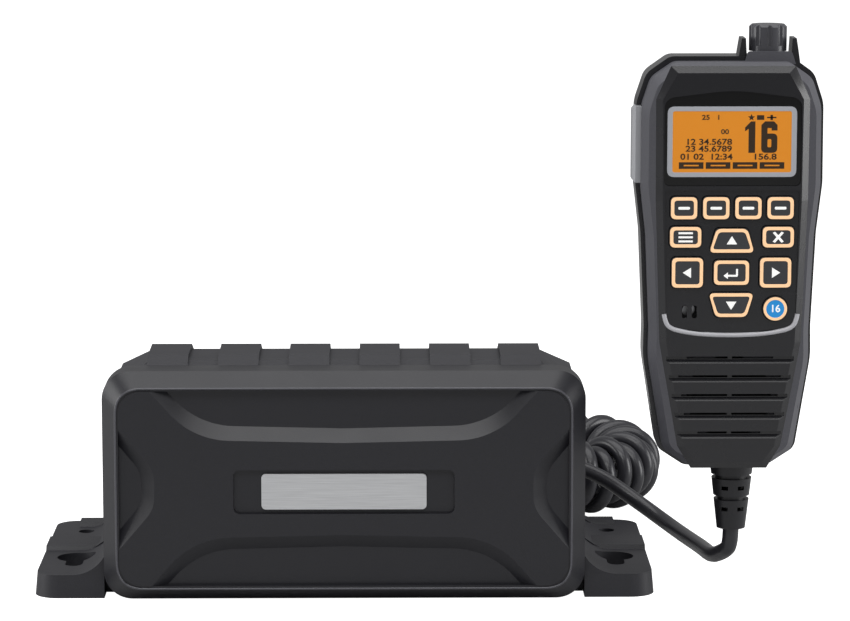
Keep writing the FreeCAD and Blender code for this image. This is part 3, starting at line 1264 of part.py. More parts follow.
def make_knob():
    """The volume knob with its shaft, the plunger that carries it, and the encoder's body."""
    x = HAND_X + KNOB_OUT
    y = at_depth(KNOB_DEPTH)
    knob = rod((x, y, KNOB_Z), (0, 0, 1), KNOB_RADIUS, KNOB_HEIGHT)
    knob = knob.makeChamfer(0.9, [e for e in knob.Edges if e.BoundBox.ZMin > KNOB_Z + KNOB_HEIGHT - 0.01])
    for i in range(KNOB_FLUTES):
        angle = 2 * math.pi * (i + 0.5) / KNOB_FLUTES
        fx = x + (KNOB_RADIUS + 0.35) * math.cos(angle)
        fy = y + (KNOB_RADIUS + 0.35) * math.sin(angle)
        knob = knob.cut(rod((fx, fy, KNOB_Z + 2.0), (0, 0, 1), FLUTE_RADIUS, KNOB_HEIGHT))
    knob = knob.cut(rod((x, y, KNOB_Z - 1), (0, 0, 1), SHAFT_RADIUS, KNOB_HEIGHT - 1.5))
    save("volume_knob", knob)
    foot = SHAFT_FOOT
    top = KNOB_Z + KNOB_HEIGHT - 2.5
    shaft = rod((x, y, foot), (0, 0, 1), SHAFT_RADIUS, top - foot)
    shaft = shaft.cut(rod((x, y, foot - 1), (0, 0, 1), PLUNGER_RADIUS + RUNNING, 1 + PLUNGER_ENGAGE))
    save("knob_shaft", shaft)
    plunger = rod((x, y, foot - 4.0), (0, 0, 1), PLUNGER_RADIUS, 4.0 + PLUNGER_ENGAGE - 0.3)
    save("knob_plunger", plunger)
    half = ENCODER_SIZE / 2
    encoder = box((x - half, x + half), (y - half, y + half), (foot - 5.5, foot - 5.5 + ENCODER_HEIGHT))
    encoder = encoder.cut(rod((x, y, foot - KNOB_PRESS - 0.6), (0, 0, 1), SHAFT_RADIUS + 0.3, 20))
    encoder = encoder.cut(rod((x, y, foot - 4.0 - KNOB_PRESS - 0.3), (0, 0, 1), PLUNGER_RADIUS + RUNNING, 20))
    save("encoder_body", encoder)


SHAFT_FOOT = TOP_Z - 9.5
PLUNGER_ENGAGE = 5.0


def make_handset_inside():
    """Window, display, boards, speaker, microphone, switch, seal and screws of the handset."""
    x = HAND_X
    chamfer = 2.4
    low = up(WINDOW_LOW) + 0.1
    high = up(WINDOW_HIGH) - 0.1
    half = WINDOW_HALF_WIDTH - chamfer - 0.1
    points = [(x - half, low), (x + half, low), (x + half, high - 3.0), (x, high), (x - half, high - 3.0)]
    save("display_window", slab(points, [2, 2, 4, 60, 4], HAND_FRONT + WINDOW_SINK, WINDOW_THICK))
    lcd_from = HAND_FRONT + PANEL_THICK
    middle = up(LCD_MID)
    save("lcd_module", slab(oblong(x, middle, LCD_WIDTH, LCD_HEIGHT), 0.8, lcd_from, LCD_THICK))
    guide_from = lcd_from + LCD_THICK
    guide = slab(oblong(x, middle, LCD_WIDTH - 1, LCD_HEIGHT - 1), 0.8, guide_from, BOARD_DEPTH_FROM - guide_from)
    save("light_guide", guide)
    key_low = up(ROUND_KEY_UP - ROUND_KEY_RADIUS - 1 - MAT_LAP)
    key_high = up(SOFT_KEY_UP + SOFT_KEY[1] / 2 + 1 + MAT_LAP)
    reach = ROUND_KEY_OUT + ROUND_KEY_RADIUS + 3 + MAT_LAP
    mat = slab([(x - reach, key_low), (x + reach, key_low), (x + reach, key_high), (x - reach, key_high)], 1,
               FRONT_HOLLOW, MAT_THICK)
    mic_x = x + MIC_SLOT_OUT
    mic_z = up(MIC_SLOT_UP)
    mat = mat.cut(rod((mic_x, FRONT_Y, mic_z), (0, 1, 0), CAPSULE_RADIUS + 1.2, 60))
    save("keypad_mat", mat)
    board_outline, board_radii = hand_outline(SIDE_STEP + 2.4 + HAND_WALL + 0.5)
    board = slab(board_outline, board_radii, BOARD_DEPTH_FROM, HAND_BOARD_THICK)
    board = board.cut(rod((x, FRONT_Y, up(SPEAKER_UP)), (0, 1, 0), SPEAKER_RADIUS + 0.6, 90))
    for px, pz in hand_screw_places():
        board = board.cut(rod((px, FRONT_Y, pz), (0, 1, 0), HAND_SCREW_RADIUS + SCREW_CLEARANCE, 90))
    save("handset_board", board)
    capsule_from = CASE_START + PANEL_SEAT + 0.8
    save("mic_seal", rod((mic_x, at_depth(capsule_from), mic_z), (0, 1, 0), CAPSULE_RADIUS + 0.9,
                         BOARD_DEPTH_FROM - capsule_from).cut(
        rod((mic_x, at_depth(capsule_from - 1), mic_z), (0, 1, 0), CAPSULE_RADIUS, 20)))
    save("mic_capsule", rod((mic_x, at_depth(BOARD_DEPTH_FROM - CAPSULE_DEPTH), mic_z), (0, 1, 0), CAPSULE_RADIUS,
                            CAPSULE_DEPTH))
    make_speaker()
    seal, seal_radii = hand_outline(SIDE_STEP + 0.3)
    seal_inner, seal_inner_radii = hand_outline(SIDE_STEP + 0.3 + HAND_WALL)
    ring = slab(seal, seal_radii, BACK_START - SEAL_THICK, SEAL_THICK)
    ring = ring.cut(slab(seal_inner, seal_inner_radii, 0, 60)).cut(ptt_pocket()).cut(relief_hole())
    save("handset_seal", ring)
    screws = []
    for px, pz in hand_screw_places():
        head_at = BACK_END - HAND_SCREW_HEAD - 0.6
        shank = rod((px, at_depth(BOARD_DEPTH_FROM - 1.0), pz), (0, 1, 0), HAND_SCREW_RADIUS,
                    head_at - BOARD_DEPTH_FROM + 1.0)
        screws.append(shank.fuse(rod((px, at_depth(head_at), pz), (0, 1, 0), HAND_SCREW_HEAD_RADIUS,
                                     HAND_SCREW_HEAD)))
    save("handset_screws", screws)
    z = up(STUD_UP)
    stud = rod((x, at_depth(BACK_END), z), (0, 1, 0), STUD_NECK_RADIUS, STUD_NECK)
    stud = stud.fuse(rod((x, at_depth(BACK_END + STUD_NECK), z), (0, 1, 0), STUD_RADIUS, STUD_HEAD))
    stud = stud.fuse(rod((x, at_depth(BACK_END - 4.0), z), (0, 1, 0), STUD_NECK_RADIUS - 1.4 - RUNNING, 4.5))
    save("hanger_stud", stud)


def make_speaker():
    """The speaker: basket, cone and magnet behind the grille."""
    x = HAND_X
    z = up(SPEAKER_UP)
    start = FRONT_HOLLOW
    basket = rod((x, at_depth(start), z), (0, 1, 0), SPEAKER_RADIUS, SPEAKER_DEPTH)
    basket = basket.cut(Part.makeCone(SPEAKER_RADIUS - 1.2, MAGNET_RADIUS - 1.5, SPEAKER_DEPTH - 0.6,
                                      V(x, at_depth(start), z), V(0, 1, 0)))
    save("speaker_basket", basket)
    cone = Part.makeCone(SPEAKER_RADIUS - 1.5, MAGNET_RADIUS - 1.8, SPEAKER_DEPTH - 0.9,
                         V(x, at_depth(start), z), V(0, 1, 0))
    cone = cone.cut(Part.makeCone(SPEAKER_RADIUS - 2.1, MAGNET_RADIUS - 2.4, SPEAKER_DEPTH - 1.3,
                                  V(x, at_depth(start - 0.01), z), V(0, 1, 0)))
    save("speaker_cone", cone)
    save("speaker_magnet", rod((x, at_depth(start + SPEAKER_DEPTH), z), (0, 1, 0), MAGNET_RADIUS, MAGNET_DEPTH))


def make_ptt():
    """The transmit key on the left side and the switch behind it."""
    x = ptt_side()
    y = at_depth(BACK_START)
    z = up(PTT_MID)
    half = PTT_LENGTH / 2
    key = box((x - PTT_PROUD, x - PTT_PROUD + PTT_THICK), (y - PTT_WIDTH / 2, y + PTT_WIDTH / 2),
              (z - half, z + half))
    ends = [e for e in key.Edges if e.BoundBox.XMax < x - PTT_PROUD + 0.01]
    save("ptt_key", key.makeChamfer(1.2, ends))
    start = x + HAND_WALL + 1.8 + KEY_GAP
    switch = box((start, start + SWITCH_THICK), (y + KEY_GAP, y + KEY_GAP + SWITCH_SIZE),
                 (z - SWITCH_SIZE / 2, z + SWITCH_SIZE / 2))
    save("ptt_switch", switch)


def make_handset():
    """All the pieces of the handset."""
    save("face_panel", make_panel())
    save("handset_front_case", make_front_case())
    save("handset_rear_case", make_rear_case())
    make_handset_inside()
    make_keys()
    make_ptt()
    make_knob()
    make_distress()
    save("strain_relief", make_relief())


os.makedirs("parts", exist_ok=True)
make_transceiver()
make_handset()
make_cord()
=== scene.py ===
import logging
import math
from dataclasses import dataclass
from enum import Enum

import bmesh
import bpy
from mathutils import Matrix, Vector


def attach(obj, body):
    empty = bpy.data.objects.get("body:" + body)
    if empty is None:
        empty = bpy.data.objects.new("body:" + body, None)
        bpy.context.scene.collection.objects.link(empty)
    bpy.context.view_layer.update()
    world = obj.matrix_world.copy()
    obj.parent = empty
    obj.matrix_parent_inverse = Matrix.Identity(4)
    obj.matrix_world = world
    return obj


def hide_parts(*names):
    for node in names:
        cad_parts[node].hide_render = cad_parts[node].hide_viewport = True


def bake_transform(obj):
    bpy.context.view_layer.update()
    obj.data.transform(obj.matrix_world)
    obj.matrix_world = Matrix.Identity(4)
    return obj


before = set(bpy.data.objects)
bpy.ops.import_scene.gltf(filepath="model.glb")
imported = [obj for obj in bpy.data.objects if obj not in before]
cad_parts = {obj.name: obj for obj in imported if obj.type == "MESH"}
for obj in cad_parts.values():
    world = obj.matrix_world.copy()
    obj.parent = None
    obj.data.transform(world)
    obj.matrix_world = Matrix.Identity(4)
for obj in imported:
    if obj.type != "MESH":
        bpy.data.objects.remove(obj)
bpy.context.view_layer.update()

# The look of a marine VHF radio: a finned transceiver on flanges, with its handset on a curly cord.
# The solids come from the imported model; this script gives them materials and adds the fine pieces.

LOG = logging.getLogger("radio")
MM = 0.001
# The patches in which a handled surface is a little duller or brighter.
WANDER_CELL = 18 * MM
# How dull the clear coat itself is.
COAT_ROUGHNESS = 0.12
# No surface is sharper than this.
SHARPEST = 0.02
# How much darker and lighter the grains are than the colour itself.
GRAIN_CONTRAST = 0.22
# Brush lines are long: their pattern is drawn out along X by this share.
BRUSH_STRETCH = 0.02
# A capital's height as a share of its type size.
FIGURE_SHARE = 0.7
Outline = list[tuple[float, float]]
Point = tuple[float, float, float]


class Body(Enum):
    """The bodies that the added pieces ride on."""

    RADIO = "radio"
    HANDSET = "handset"


class Pattern(Enum):
    """The surface patterns that a finish can have."""

    SMOOTH = "smooth"
    GRAIN = "grain"
    BRUSHED = "brushed"


@dataclass(frozen=True)
class Finish:
    """One real material and what it gives the eye.

    Args:
        name: the real material.
        colour: its sRGB colour in hex.
        roughness: how dull it is.
        metallic: 1 for bare metal.
        coat: a clear gloss over it.
        pattern: its surface pattern.
        cell_mm: the size of one grain or brush line.
        depth_mm: how deep the pattern is.
        glow: light that it gives off.
        vary: how much its roughness wanders, as on a handled object.
        backdrop: its glow is seen but lights nothing, as a lit sweep behind the object.
    """

    name: str
    colour: str
    roughness: float = 0.5
    metallic: float = 0.0
    coat: float = 0.0
    pattern: Pattern = Pattern.SMOOTH
    cell_mm: float = 0.5
    depth_mm: float = 0.02
    glow: float = 0.0
    vary: float = 0.05
    backdrop: bool = False


# Powder coat on die-cast aluminium: a fine sparkle of grains, dull enough to show the ribs' edges.
POWDER_COAT = Finish("powder coated cast aluminium", "#28282d", 0.5, pattern=Pattern.GRAIN, cell_mm=0.55,
                     depth_mm=0.045)
# Moulded ABS with a spark-eroded grain: darker than the case, with a soft sheen on the bevels.
GRAINED_ABS = Finish("grained ABS", "#212126", 0.36, pattern=Pattern.GRAIN, cell_mm=0.4, depth_mm=0.025)
# The same ABS as a thin bead round the face, coloured lighter as a painted highlight: the thin bright line
# round the face.
BEAD_PAINTED_HIGHLIGHT = Finish("ABS bead with painted highlight", "#4b4b51", 0.25, coat=0.3)
# Satin aluminium sheet: bright, with faint level brush lines.
SATIN_PLATE = Finish("satin aluminium plate", "#cfd0d2", 0.34, 0.45, pattern=Pattern.BRUSHED, cell_mm=0.25,
                     depth_mm=0.004)
# Black sealing rubber: nearly no highlight.
SEAL_RUBBER = Finish("sealing rubber", "#18181a", 0.75)
# Zinc plated steel: a cool, blurred shine.
ZINC_STEEL = Finish("zinc plated steel", "#b4b6ba", 0.3, 1.0)
# Epoxy board under green solder mask.
SOLDER_MASK = Finish("solder mask", "#0f4a2a", 0.35, coat=0.4)
# Tinned sheet: bright and soft.
TINNED_SHEET = Finish("tinned sheet", "#b9babd", 0.34, 1.0)
# Moulded epoxy: dull black.
EPOXY = Finish("moulded epoxy", "#19191b", 0.55)
# Nickel on brass: warm and bright.
NICKEL = Finish("nickel plated brass", "#c9c6bc", 0.22, 1.0)
# Polyurethane cord: satin black with long highlights along each turn.
CORD_SKIN = Finish("polyurethane cord", "#2a2a2f", 0.34, coat=0.2, pattern=Pattern.GRAIN, cell_mm=0.8,
                   depth_mm=0.006)
# Moulded boot: the same polyurethane, a little duller.
BOOT_RUBBER = Finish("moulded boot", "#1c1c20", 0.36)
# Outer shell of the handset: half gloss, with hard highlights on its round edges.
SHELL_GLOSS = Finish("half gloss polycarbonate", "#1a1a1e", 0.27, coat=0.3)
# Side bands of the handset: a coarse grain that reads as grey speckle.
SHELL_GRAIN = Finish("grained polycarbonate", "#505056", 0.5, pattern=Pattern.GRAIN, cell_mm=0.45,
                     depth_mm=0.05)
# Front panel: smooth satin that mirrors the lamp on its chamfers.
PANEL_SATIN = Finish("satin polycarbonate", "#17171b", 0.27, coat=0.3)
# The panel's lip: the same plastic polished, and coloured pale as a painted highlight, the pale line where
# it catches the lamp.
LIP_PAINTED_HIGHLIGHT = Finish("polished polycarbonate", "#b9b9be", 0.3, coat=0.3)
# Display window: black printed border under clear acrylic.
WINDOW_BLACK = Finish("black backed acrylic", "#060607", 0.05, coat=0.3)
# Frame round the display: light grey print.
FRAME_GREY = Finish("grey display frame", "#a9abb1", 0.4, glow=0.06)
# Amber backlight: even and warm, it glows a little.
AMBER = Finish("amber backlight", "#d08018", 0.4, coat=0.1, glow=0.3)
# Dark liquid crystal on the amber.
LCD_DARK = Finish("liquid crystal", "#33230f", 0.4)
# Light guide: milky acrylic.
MILKY = Finish("milky acrylic", "#e6e4df", 0.4)
# Key centres: dark paint over silicone.
KEY_DARK = Finish("painted silicone key", "#3a3b3e", 0.4)
# Key rims: clear silicone, lit cream from behind.
KEY_RIM = Finish("lit silicone rim", "#f3c79a", 0.45, glow=0.4)
# White print on keys.
KEY_WHITE = Finish("white print", "#f8f8f6", 0.5, glow=0.3)
# Blue key centre.
KEY_BLUE = Finish("blue printed key", "#1c8ad2", 0.3, coat=0.3, glow=0.22)
# Red guarded key and its flap.
KEY_RED = Finish("red key", "#b51c16", 0.35, coat=0.3)
# Silicone key mat.
MAT_SILICONE = Finish("silicone mat", "#d8d3c4", 0.55)
# Speaker paper.
CONE_PAPER = Finish("coated paper cone", "#1b1b1c", 0.8)
# Ferrite magnet.
FERRITE = Finish("ferrite", "#3b3b3d", 0.5)
# Transmit bar: grey rubber over plastic.
BAR_GREY = Finish("grey rubber bar", "#9a9b9f", 0.42)
# Volume knob: satin black with bright facets.
KNOB_SATIN = Finish("satin knob", "#424247", 0.33, coat=0.15)
# Floor: plain, pale and dull.
FLOOR_PALE = Finish("pale floor", "#b9b9b9", 0.85, glow=2.2, backdrop=True)

KEY_NODES = ("soft_key_1", "soft_key_2", "soft_key_3", "soft_key_4", "list_key", "cancel_key", "up_key",
             "down_key", "left_key", "right_key", "enter_key", "channel_16_key")

NODE_FINISHES: dict[str, Finish] = {
    "chassis": POWDER_COAT, "front_cover": GRAINED_ABS, "cover_gasket": SEAL_RUBBER,
    "badge_plate": SATIN_PLATE, "cover_screws": ZINC_STEEL, "main_board": SOLDER_MASK,
    "shield_can": TINNED_SHEET, "power_module": EPOXY, "board_screws": ZINC_STEEL,
    "antenna_socket": NICKEL, "antenna_socket_screws": ZINC_STEEL, "power_gland": SEAL_RUBBER,
    "accessory_gland": SEAL_RUBBER, "mic_socket": EPOXY, "mic_plug": EPOXY, "plug_boot": BOOT_RUBBER,
    "coupling_ring": NICKEL, "face_panel": PANEL_SATIN, "handset_front_case": SHELL_GRAIN,
    "handset_rear_case": SHELL_GLOSS, "display_window": WINDOW_BLACK, "lcd_module": FRAME_GREY,
    "light_guide": MILKY, "keypad_mat": MAT_SILICONE, "handset_board": SOLDER_MASK,
    "mic_seal": SEAL_RUBBER, "mic_capsule": TINNED_SHEET, "speaker_basket": TINNED_SHEET,
    "speaker_cone": CONE_PAPER, "speaker_magnet": FERRITE, "handset_seal": SEAL_RUBBER,
    "handset_screws": ZINC_STEEL, "hanger_stud": NICKEL, "ptt_switch": EPOXY, "encoder_body": EPOXY,
    "strain_relief": BOOT_RUBBER, "distress_hinge_pin": ZINC_STEEL, "knob_plunger": ZINC_STEEL,
    "volume_knob": KNOB_SATIN, "knob_shaft": TINNED_SHEET, "ptt_key": BAR_GREY,
    "distress_cover": KEY_RED, "distress_key": KEY_RED,
}

_MATERIALS: dict[Finish, bpy.types.Material] = {}


def srgb(colour: str) -> tuple[float, float, float, float]:
    """Turns an sRGB hex colour into linear RGBA.

    Args:
        colour: such as "#29292d".

    Returns:
        Linear red, green, blue and alpha.
    """
    parts = [int(colour[i:i + 2], 16) / 255 for i in (1, 3, 5)]
    red, green, blue = [p / 12.92 if p <= 0.04045 else ((p + 0.055) / 1.055) ** 2.4 for p in parts]
    return red, green, blue, 1.0


def add_node(tree: bpy.types.NodeTree, kind: str, inputs: dict | None = None, **facts):
    """Adds one shader node.

    Args:
        tree: the material's nodes.
        kind: the node's Blender type.
        inputs: values or sockets by input name.
        facts: attributes of the node.

    Returns:
        The new node.
    """
    node = tree.nodes.new(kind)
    for name, value in facts.items():
        setattr(node, name, value)
    for name, value in (inputs or {}).items():
        if isinstance(value, bpy.types.NodeSocket):
            tree.links.new(value, node.inputs[name])
        else:
            node.inputs[name].default_value = value
    return node


def seen(tree: bpy.types.NodeTree, unseen: float, direct: float) -> bpy.types.NodeSocket:
    """A value for what the camera sees directly, and another one for all other light.

    Args:
        tree: the nodes to add to.
        unseen: the value for reflected and scattered light.
        direct: the value for what is seen directly.

    Returns:
        The socket with the value.
    """
    ray = add_node(tree, "ShaderNodeLightPath")
    mixed = add_node(tree, "ShaderNodeMapRange", {"Value": ray.outputs["Is Camera Ray"], "To Min": unseen,
                                                  "To Max": direct})
    return mixed.outputs["Result"]


def material(finish: Finish) -> bpy.types.Material:
    """Makes a finish's procedural material, once.

    Args:
        finish: the finish.

    Returns:
        The material.
    """
    if finish in _MATERIALS:
        return _MATERIALS[finish]
    made = bpy.data.materials.new(finish.name)
    made.use_nodes = True
    tree = made.node_tree
    tree.nodes.clear()
    colour = srgb(finish.colour)
    place = add_node(tree, "ShaderNodeTexCoord")
    wander = add_node(tree, "ShaderNodeTexNoise", {"Vector": place.outputs["Object"],
                                                   "Scale": 1 / WANDER_CELL, "Detail": 3.0})
    dull = add_node(tree, "ShaderNodeMapRange", {"Value": wander.outputs["Fac"],
                                                 "To Min": max(SHARPEST, finish.roughness - finish.vary),
                                                 "To Max": finish.roughness + finish.vary})
    inputs = {"Base Color": colour, "Metallic": finish.metallic, "Roughness": dull.outputs["Result"],
              "Coat Weight": finish.coat, "Coat Roughness": COAT_ROUGHNESS}
    if finish.glow:
        inputs["Emission Color"] = colour
        inputs["Emission Strength"] = finish.glow
    if finish.backdrop:
        inputs["Emission Strength"] = seen(tree, 0.0, finish.glow)
    if finish.pattern is not Pattern.SMOOTH:
        stretch = (1.0, 1.0, 1.0) if finish.pattern is Pattern.GRAIN else (BRUSH_STRETCH, 1.0, 1.0)
        spread = add_node(tree, "ShaderNodeMapping", {"Vector": place.outputs["Object"], "Scale": stretch})
        cells = add_node(tree, "ShaderNodeTexNoise", {"Vector": spread.outputs["Vector"],
                                                      "Scale": 1 / (finish.cell_mm * MM), "Detail": 2.0})
        bump = add_node(tree, "ShaderNodeBump", {"Height": cells.outputs["Fac"], "Strength": 1.0,
                                                 "Distance": finish.depth_mm * MM})
        inputs["Normal"] = bump.outputs["Normal"]
        dim = tuple(c * (1 - GRAIN_CONTRAST) for c in colour[:3]) + (1.0,)
        lit = tuple(min(1.0, c * (1 + GRAIN_CONTRAST)) for c in colour[:3]) + (1.0,)
        speckle = add_node(tree, "ShaderNodeMix", data_type="RGBA")
        tree.links.new(cells.outputs["Fac"], speckle.inputs[0])
        speckle.inputs[6].default_value = dim
        speckle.inputs[7].default_value = lit
        inputs["Base Color"] = speckle.outputs[2]
    shader = add_node(tree, "ShaderNodeBsdfPrincipled", inputs)
    add_node(tree, "ShaderNodeOutputMaterial", {"Surface": shader.outputs["BSDF"]})
    _MATERIALS[finish] = made
    return made


def paint(name: str, finish: Finish) -> None:
    """Gives a CAD node its finish.

    Args:
        name: the node.
        finish: the finish.
    """
    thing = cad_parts[name]
    for one in thing.material_slots:
        one.material = material(finish)


def piece_name(words: str) -> str:
    """A piece's name, with no spaces."""
    return words.replace(" ", "_")


def link(thing: bpy.types.Object, finish: Finish, body: str) -> bpy.types.Object:
    """Puts a new piece into the scene with its material and body.

    Args:
        thing: the piece.
        finish: its finish.
        body: the CAD body that it rides on.

    Returns:
        The piece.
    """
    thing.name = piece_name(thing.name)
    bpy.context.scene.collection.objects.link(thing)
    thing.data.materials.clear()
    thing.data.materials.append(material(finish))
    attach(thing, body)
    return thing


def rounded(points: Outline, radius: float, steps: int = 5) -> Outline:
    """Rounds the corners of a closed outline.

    Args:
        points: the corners in order.
        radius: the largest corner radius.
        steps: points along each corner.

    Returns:
        The outline with rounded corners.
    """
    result = []
    count = len(points)
    for i, (px, pz) in enumerate(points):
        here = Vector((px, pz))
        before = Vector(points[i - 1]) - here
        after = Vector(points[(i + 1) % count]) - here
        reach = min(radius, before.length * 0.49, after.length * 0.49)
        start = here + before.normalized() * reach
        end = here + after.normalized() * reach
        for k in range(steps + 1):
            t = k / steps
            mix = start * (1 - t) ** 2 + here * (2 * t * (1 - t)) + end * t ** 2
            result.append((mix.x, mix.y))
    return result


def inset(points: Outline, by: float) -> Outline:
    """Draws a convex outline in towards its middle.

    Args:
        points: the outline.
        by: the distance.

    Returns:
        The smaller outline.
    """
    mid_x = sum(p[0] for p in points) / len(points)
    mid_z = sum(p[1] for p in points) / len(points)
    half_w = max(abs(p[0] - mid_x) for p in points)
    half_h = max(abs(p[1] - mid_z) for p in points)
    return [(mid_x + (x - mid_x) * (1 - by / half_w), mid_z + (z - mid_z) * (1 - by / half_h))
            for x, z in points]


def plate(name: str, outline: Outline, front: float, thick: float, hole: Outline | None = None):
    """A thin plate that faces the viewer.

    Args:
        name: the piece's name.
        outline: its X-Z outline in mm.
        front: the Y of its front face in mm.
        thick: its thickness in mm.
        hole: an outline with as many points, cut through it.

    Returns:
        The object, not yet in the scene.
    """
    count = len(outline)
    rings = [outline] if hole is None else [outline, hole]
    verts = [(x * MM, y * MM, z * MM) for ring in rings for y in (front, front + thick) for x, z in ring]
    faces = []
    for r in range(len(rings)):
        base = r * 2 * count
        for i in range(count):
            j = (i + 1) % count
            side = (base + i, base + j, base + count + j, base + count + i)
            faces.append(side if r == 0 else side[::-1])
    if hole is None:
        faces.append(tuple(range(count))[::-1])
        faces.append(tuple(range(count, 2 * count)))
    else:
        for shift in (0, count):
            for i in range(count):
                j = (i + 1) % count
                cap = (shift + i, 2 * count + shift + i, 2 * count + shift + j, shift + j)
                faces.append(cap if shift == 0 else cap[::-1])
    mesh = bpy.data.meshes.new(name)
    mesh.from_pydata(verts, [], faces)
    tidy = bmesh.new()
    tidy.from_mesh(mesh)
    bmesh.ops.recalc_face_normals(tidy, faces=tidy.faces)
    tidy.to_mesh(mesh)
    tidy.free()
    return bpy.data.objects.new(name, mesh)


def soften(thing: bpy.types.Object, width: float) -> bpy.types.Object:
    """Rounds a piece's edges.

    Args:
        thing: the piece.
        width: the bevel in mm.

    Returns:
        The same piece.
    """
    bevel = thing.modifiers.new("soft edge", "BEVEL")
    bevel.width = width * MM
    bevel.segments = 2
    bevel.limit_method = "ANGLE"
    return thing


def block(mid_x: float, mid_z: float, width: float, height: float) -> Outline:
    """The four corners of a level rectangle."""
    half_w, half_h = width / 2, height / 2
    return [(mid_x - half_w, mid_z - half_h), (mid_x + half_w, mid_z - half_h),
            (mid_x + half_w, mid_z + half_h), (mid_x - half_w, mid_z + half_h)]


def disc(mid_x: float, mid_z: float, radius: float, count: int = 40) -> Outline:
    """A round outline."""
    turns = [2 * math.pi * i / count for i in range(count)]
    return [(mid_x + radius * math.cos(t), mid_z + radius * math.sin(t)) for t in turns]


def star(mid_x: float, mid_z: float, reach: float) -> Outline:
    """A five-pointed star round a middle."""
    notch = 0.45
    turns = [math.pi / 2 + math.pi * i / 5 for i in range(10)]
    reaches = [reach * (notch if i % 2 else 1.0) for i in range(10)]
    return [(mid_x + math.cos(t) * r, mid_z + math.sin(t) * r) for t, r in zip(turns, reaches)]


def wire(name: str, points: list[Point], radius: float, sides: int = 6, closed: bool = False):
    """A smooth round wire through control points.

    Args:
        name: the piece's name.
        points: control points in mm.
        radius: the wire's radius in mm.
        sides: how finely its section is cut.
        closed: whether it is a ring.

    Returns:
        The curve object, not yet in the scene.
    """
    curve = bpy.data.curves.new(name, "CURVE")
    curve.dimensions = "3D"
    spline = curve.splines.new("NURBS")
    spline.points.add(len(points) - 1)
    for point, (x, y, z) in zip(spline.points, points):
        point.co = (x * MM, y * MM, z * MM, 1.0)
    spline.use_cyclic_u = closed
    spline.use_endpoint_u = not closed
    spline.order_u = 3
    spline.resolution_u = 6
    curve.bevel_depth = radius * MM
    curve.bevel_resolution = sides
    curve.use_fill_caps = not closed
    return bpy.data.objects.new(name, curve)


def figures(name: str, words: str, height: float, at: Point, wide: float = 1.0):
    """Plain printed figures that face the viewer.

    Args:
        name: the piece's name.
        words: plain figures.
        height: the height of a figure in mm.
        at: the middle of the figures in mm; Y is the face that they are printed on.
        wide: their width against the plain letter form.

    Returns:
        A mesh object, not yet in the scene.
    """
    text = bpy.data.curves.new(name, "FONT")
    text.body = words
    text.align_x = "CENTER"
    text.align_y = "CENTER"
    text.size = height * MM / FIGURE_SHARE
    text.extrude = 0.06 * MM
    text.offset = 0.018 * text.size
    carrier = bpy.data.objects.new(name + " text", text)
    mesh = bpy.data.meshes.new_from_object(carrier)
    for v in mesh.vertices:
        x, z, y = v.co
        v.co = (at[0] * MM + x * wide, at[1] * MM - y, at[2] * MM + z)
    mesh.name = name
    return bpy.data.objects.new(name, mesh)


@dataclass(frozen=True)
class Softbox:
    """One lamp with a soft front.

    Args:
        name: its name.
        at: its place in metres.
        aim: what it points at.
        size: its width and height in metres.
        power: its power in watts.
    """

    name: str
    at: Point
    aim: Point
    size: tuple[float, float]
    power: float

    def build(self) -> None:
        """Adds the lamp to the scene."""
        light = bpy.data.lights.new(self.name, "AREA")
        light.shape = "RECTANGLE"
        light.size, light.size_y = self.size
        light.energy = self.power
        lamp = bpy.data.objects.new(self.name, light)
        lamp.location = self.at
        lamp.rotation_euler = (Vector(self.aim) - Vector(self.at)).to_track_quat("-Z", "Y").to_euler()
        bpy.context.scene.collection.objects.link(lamp)


SOFTBOXES = (
    Softbox("high front softbox", (0.0, -0.9, 1.2), (0.0, 0.0, 0.05), (1.5, 0.6), 9.0),
    Softbox("overhead softbox", (0.0, 0.05, 1.2), (0.0, 0.0, 0.05), (1.6, 0.8), 7.0),
    Softbox("left softbox", (-0.85, -0.12, 0.3), (0.0, -0.05, 0.1), (0.5, 0.56), 3.2),
    Softbox("right softbox", (0.95, -0.12, 0.3), (0.1, -0.05, 0.1), (0.5, 0.56), 4.0),
)


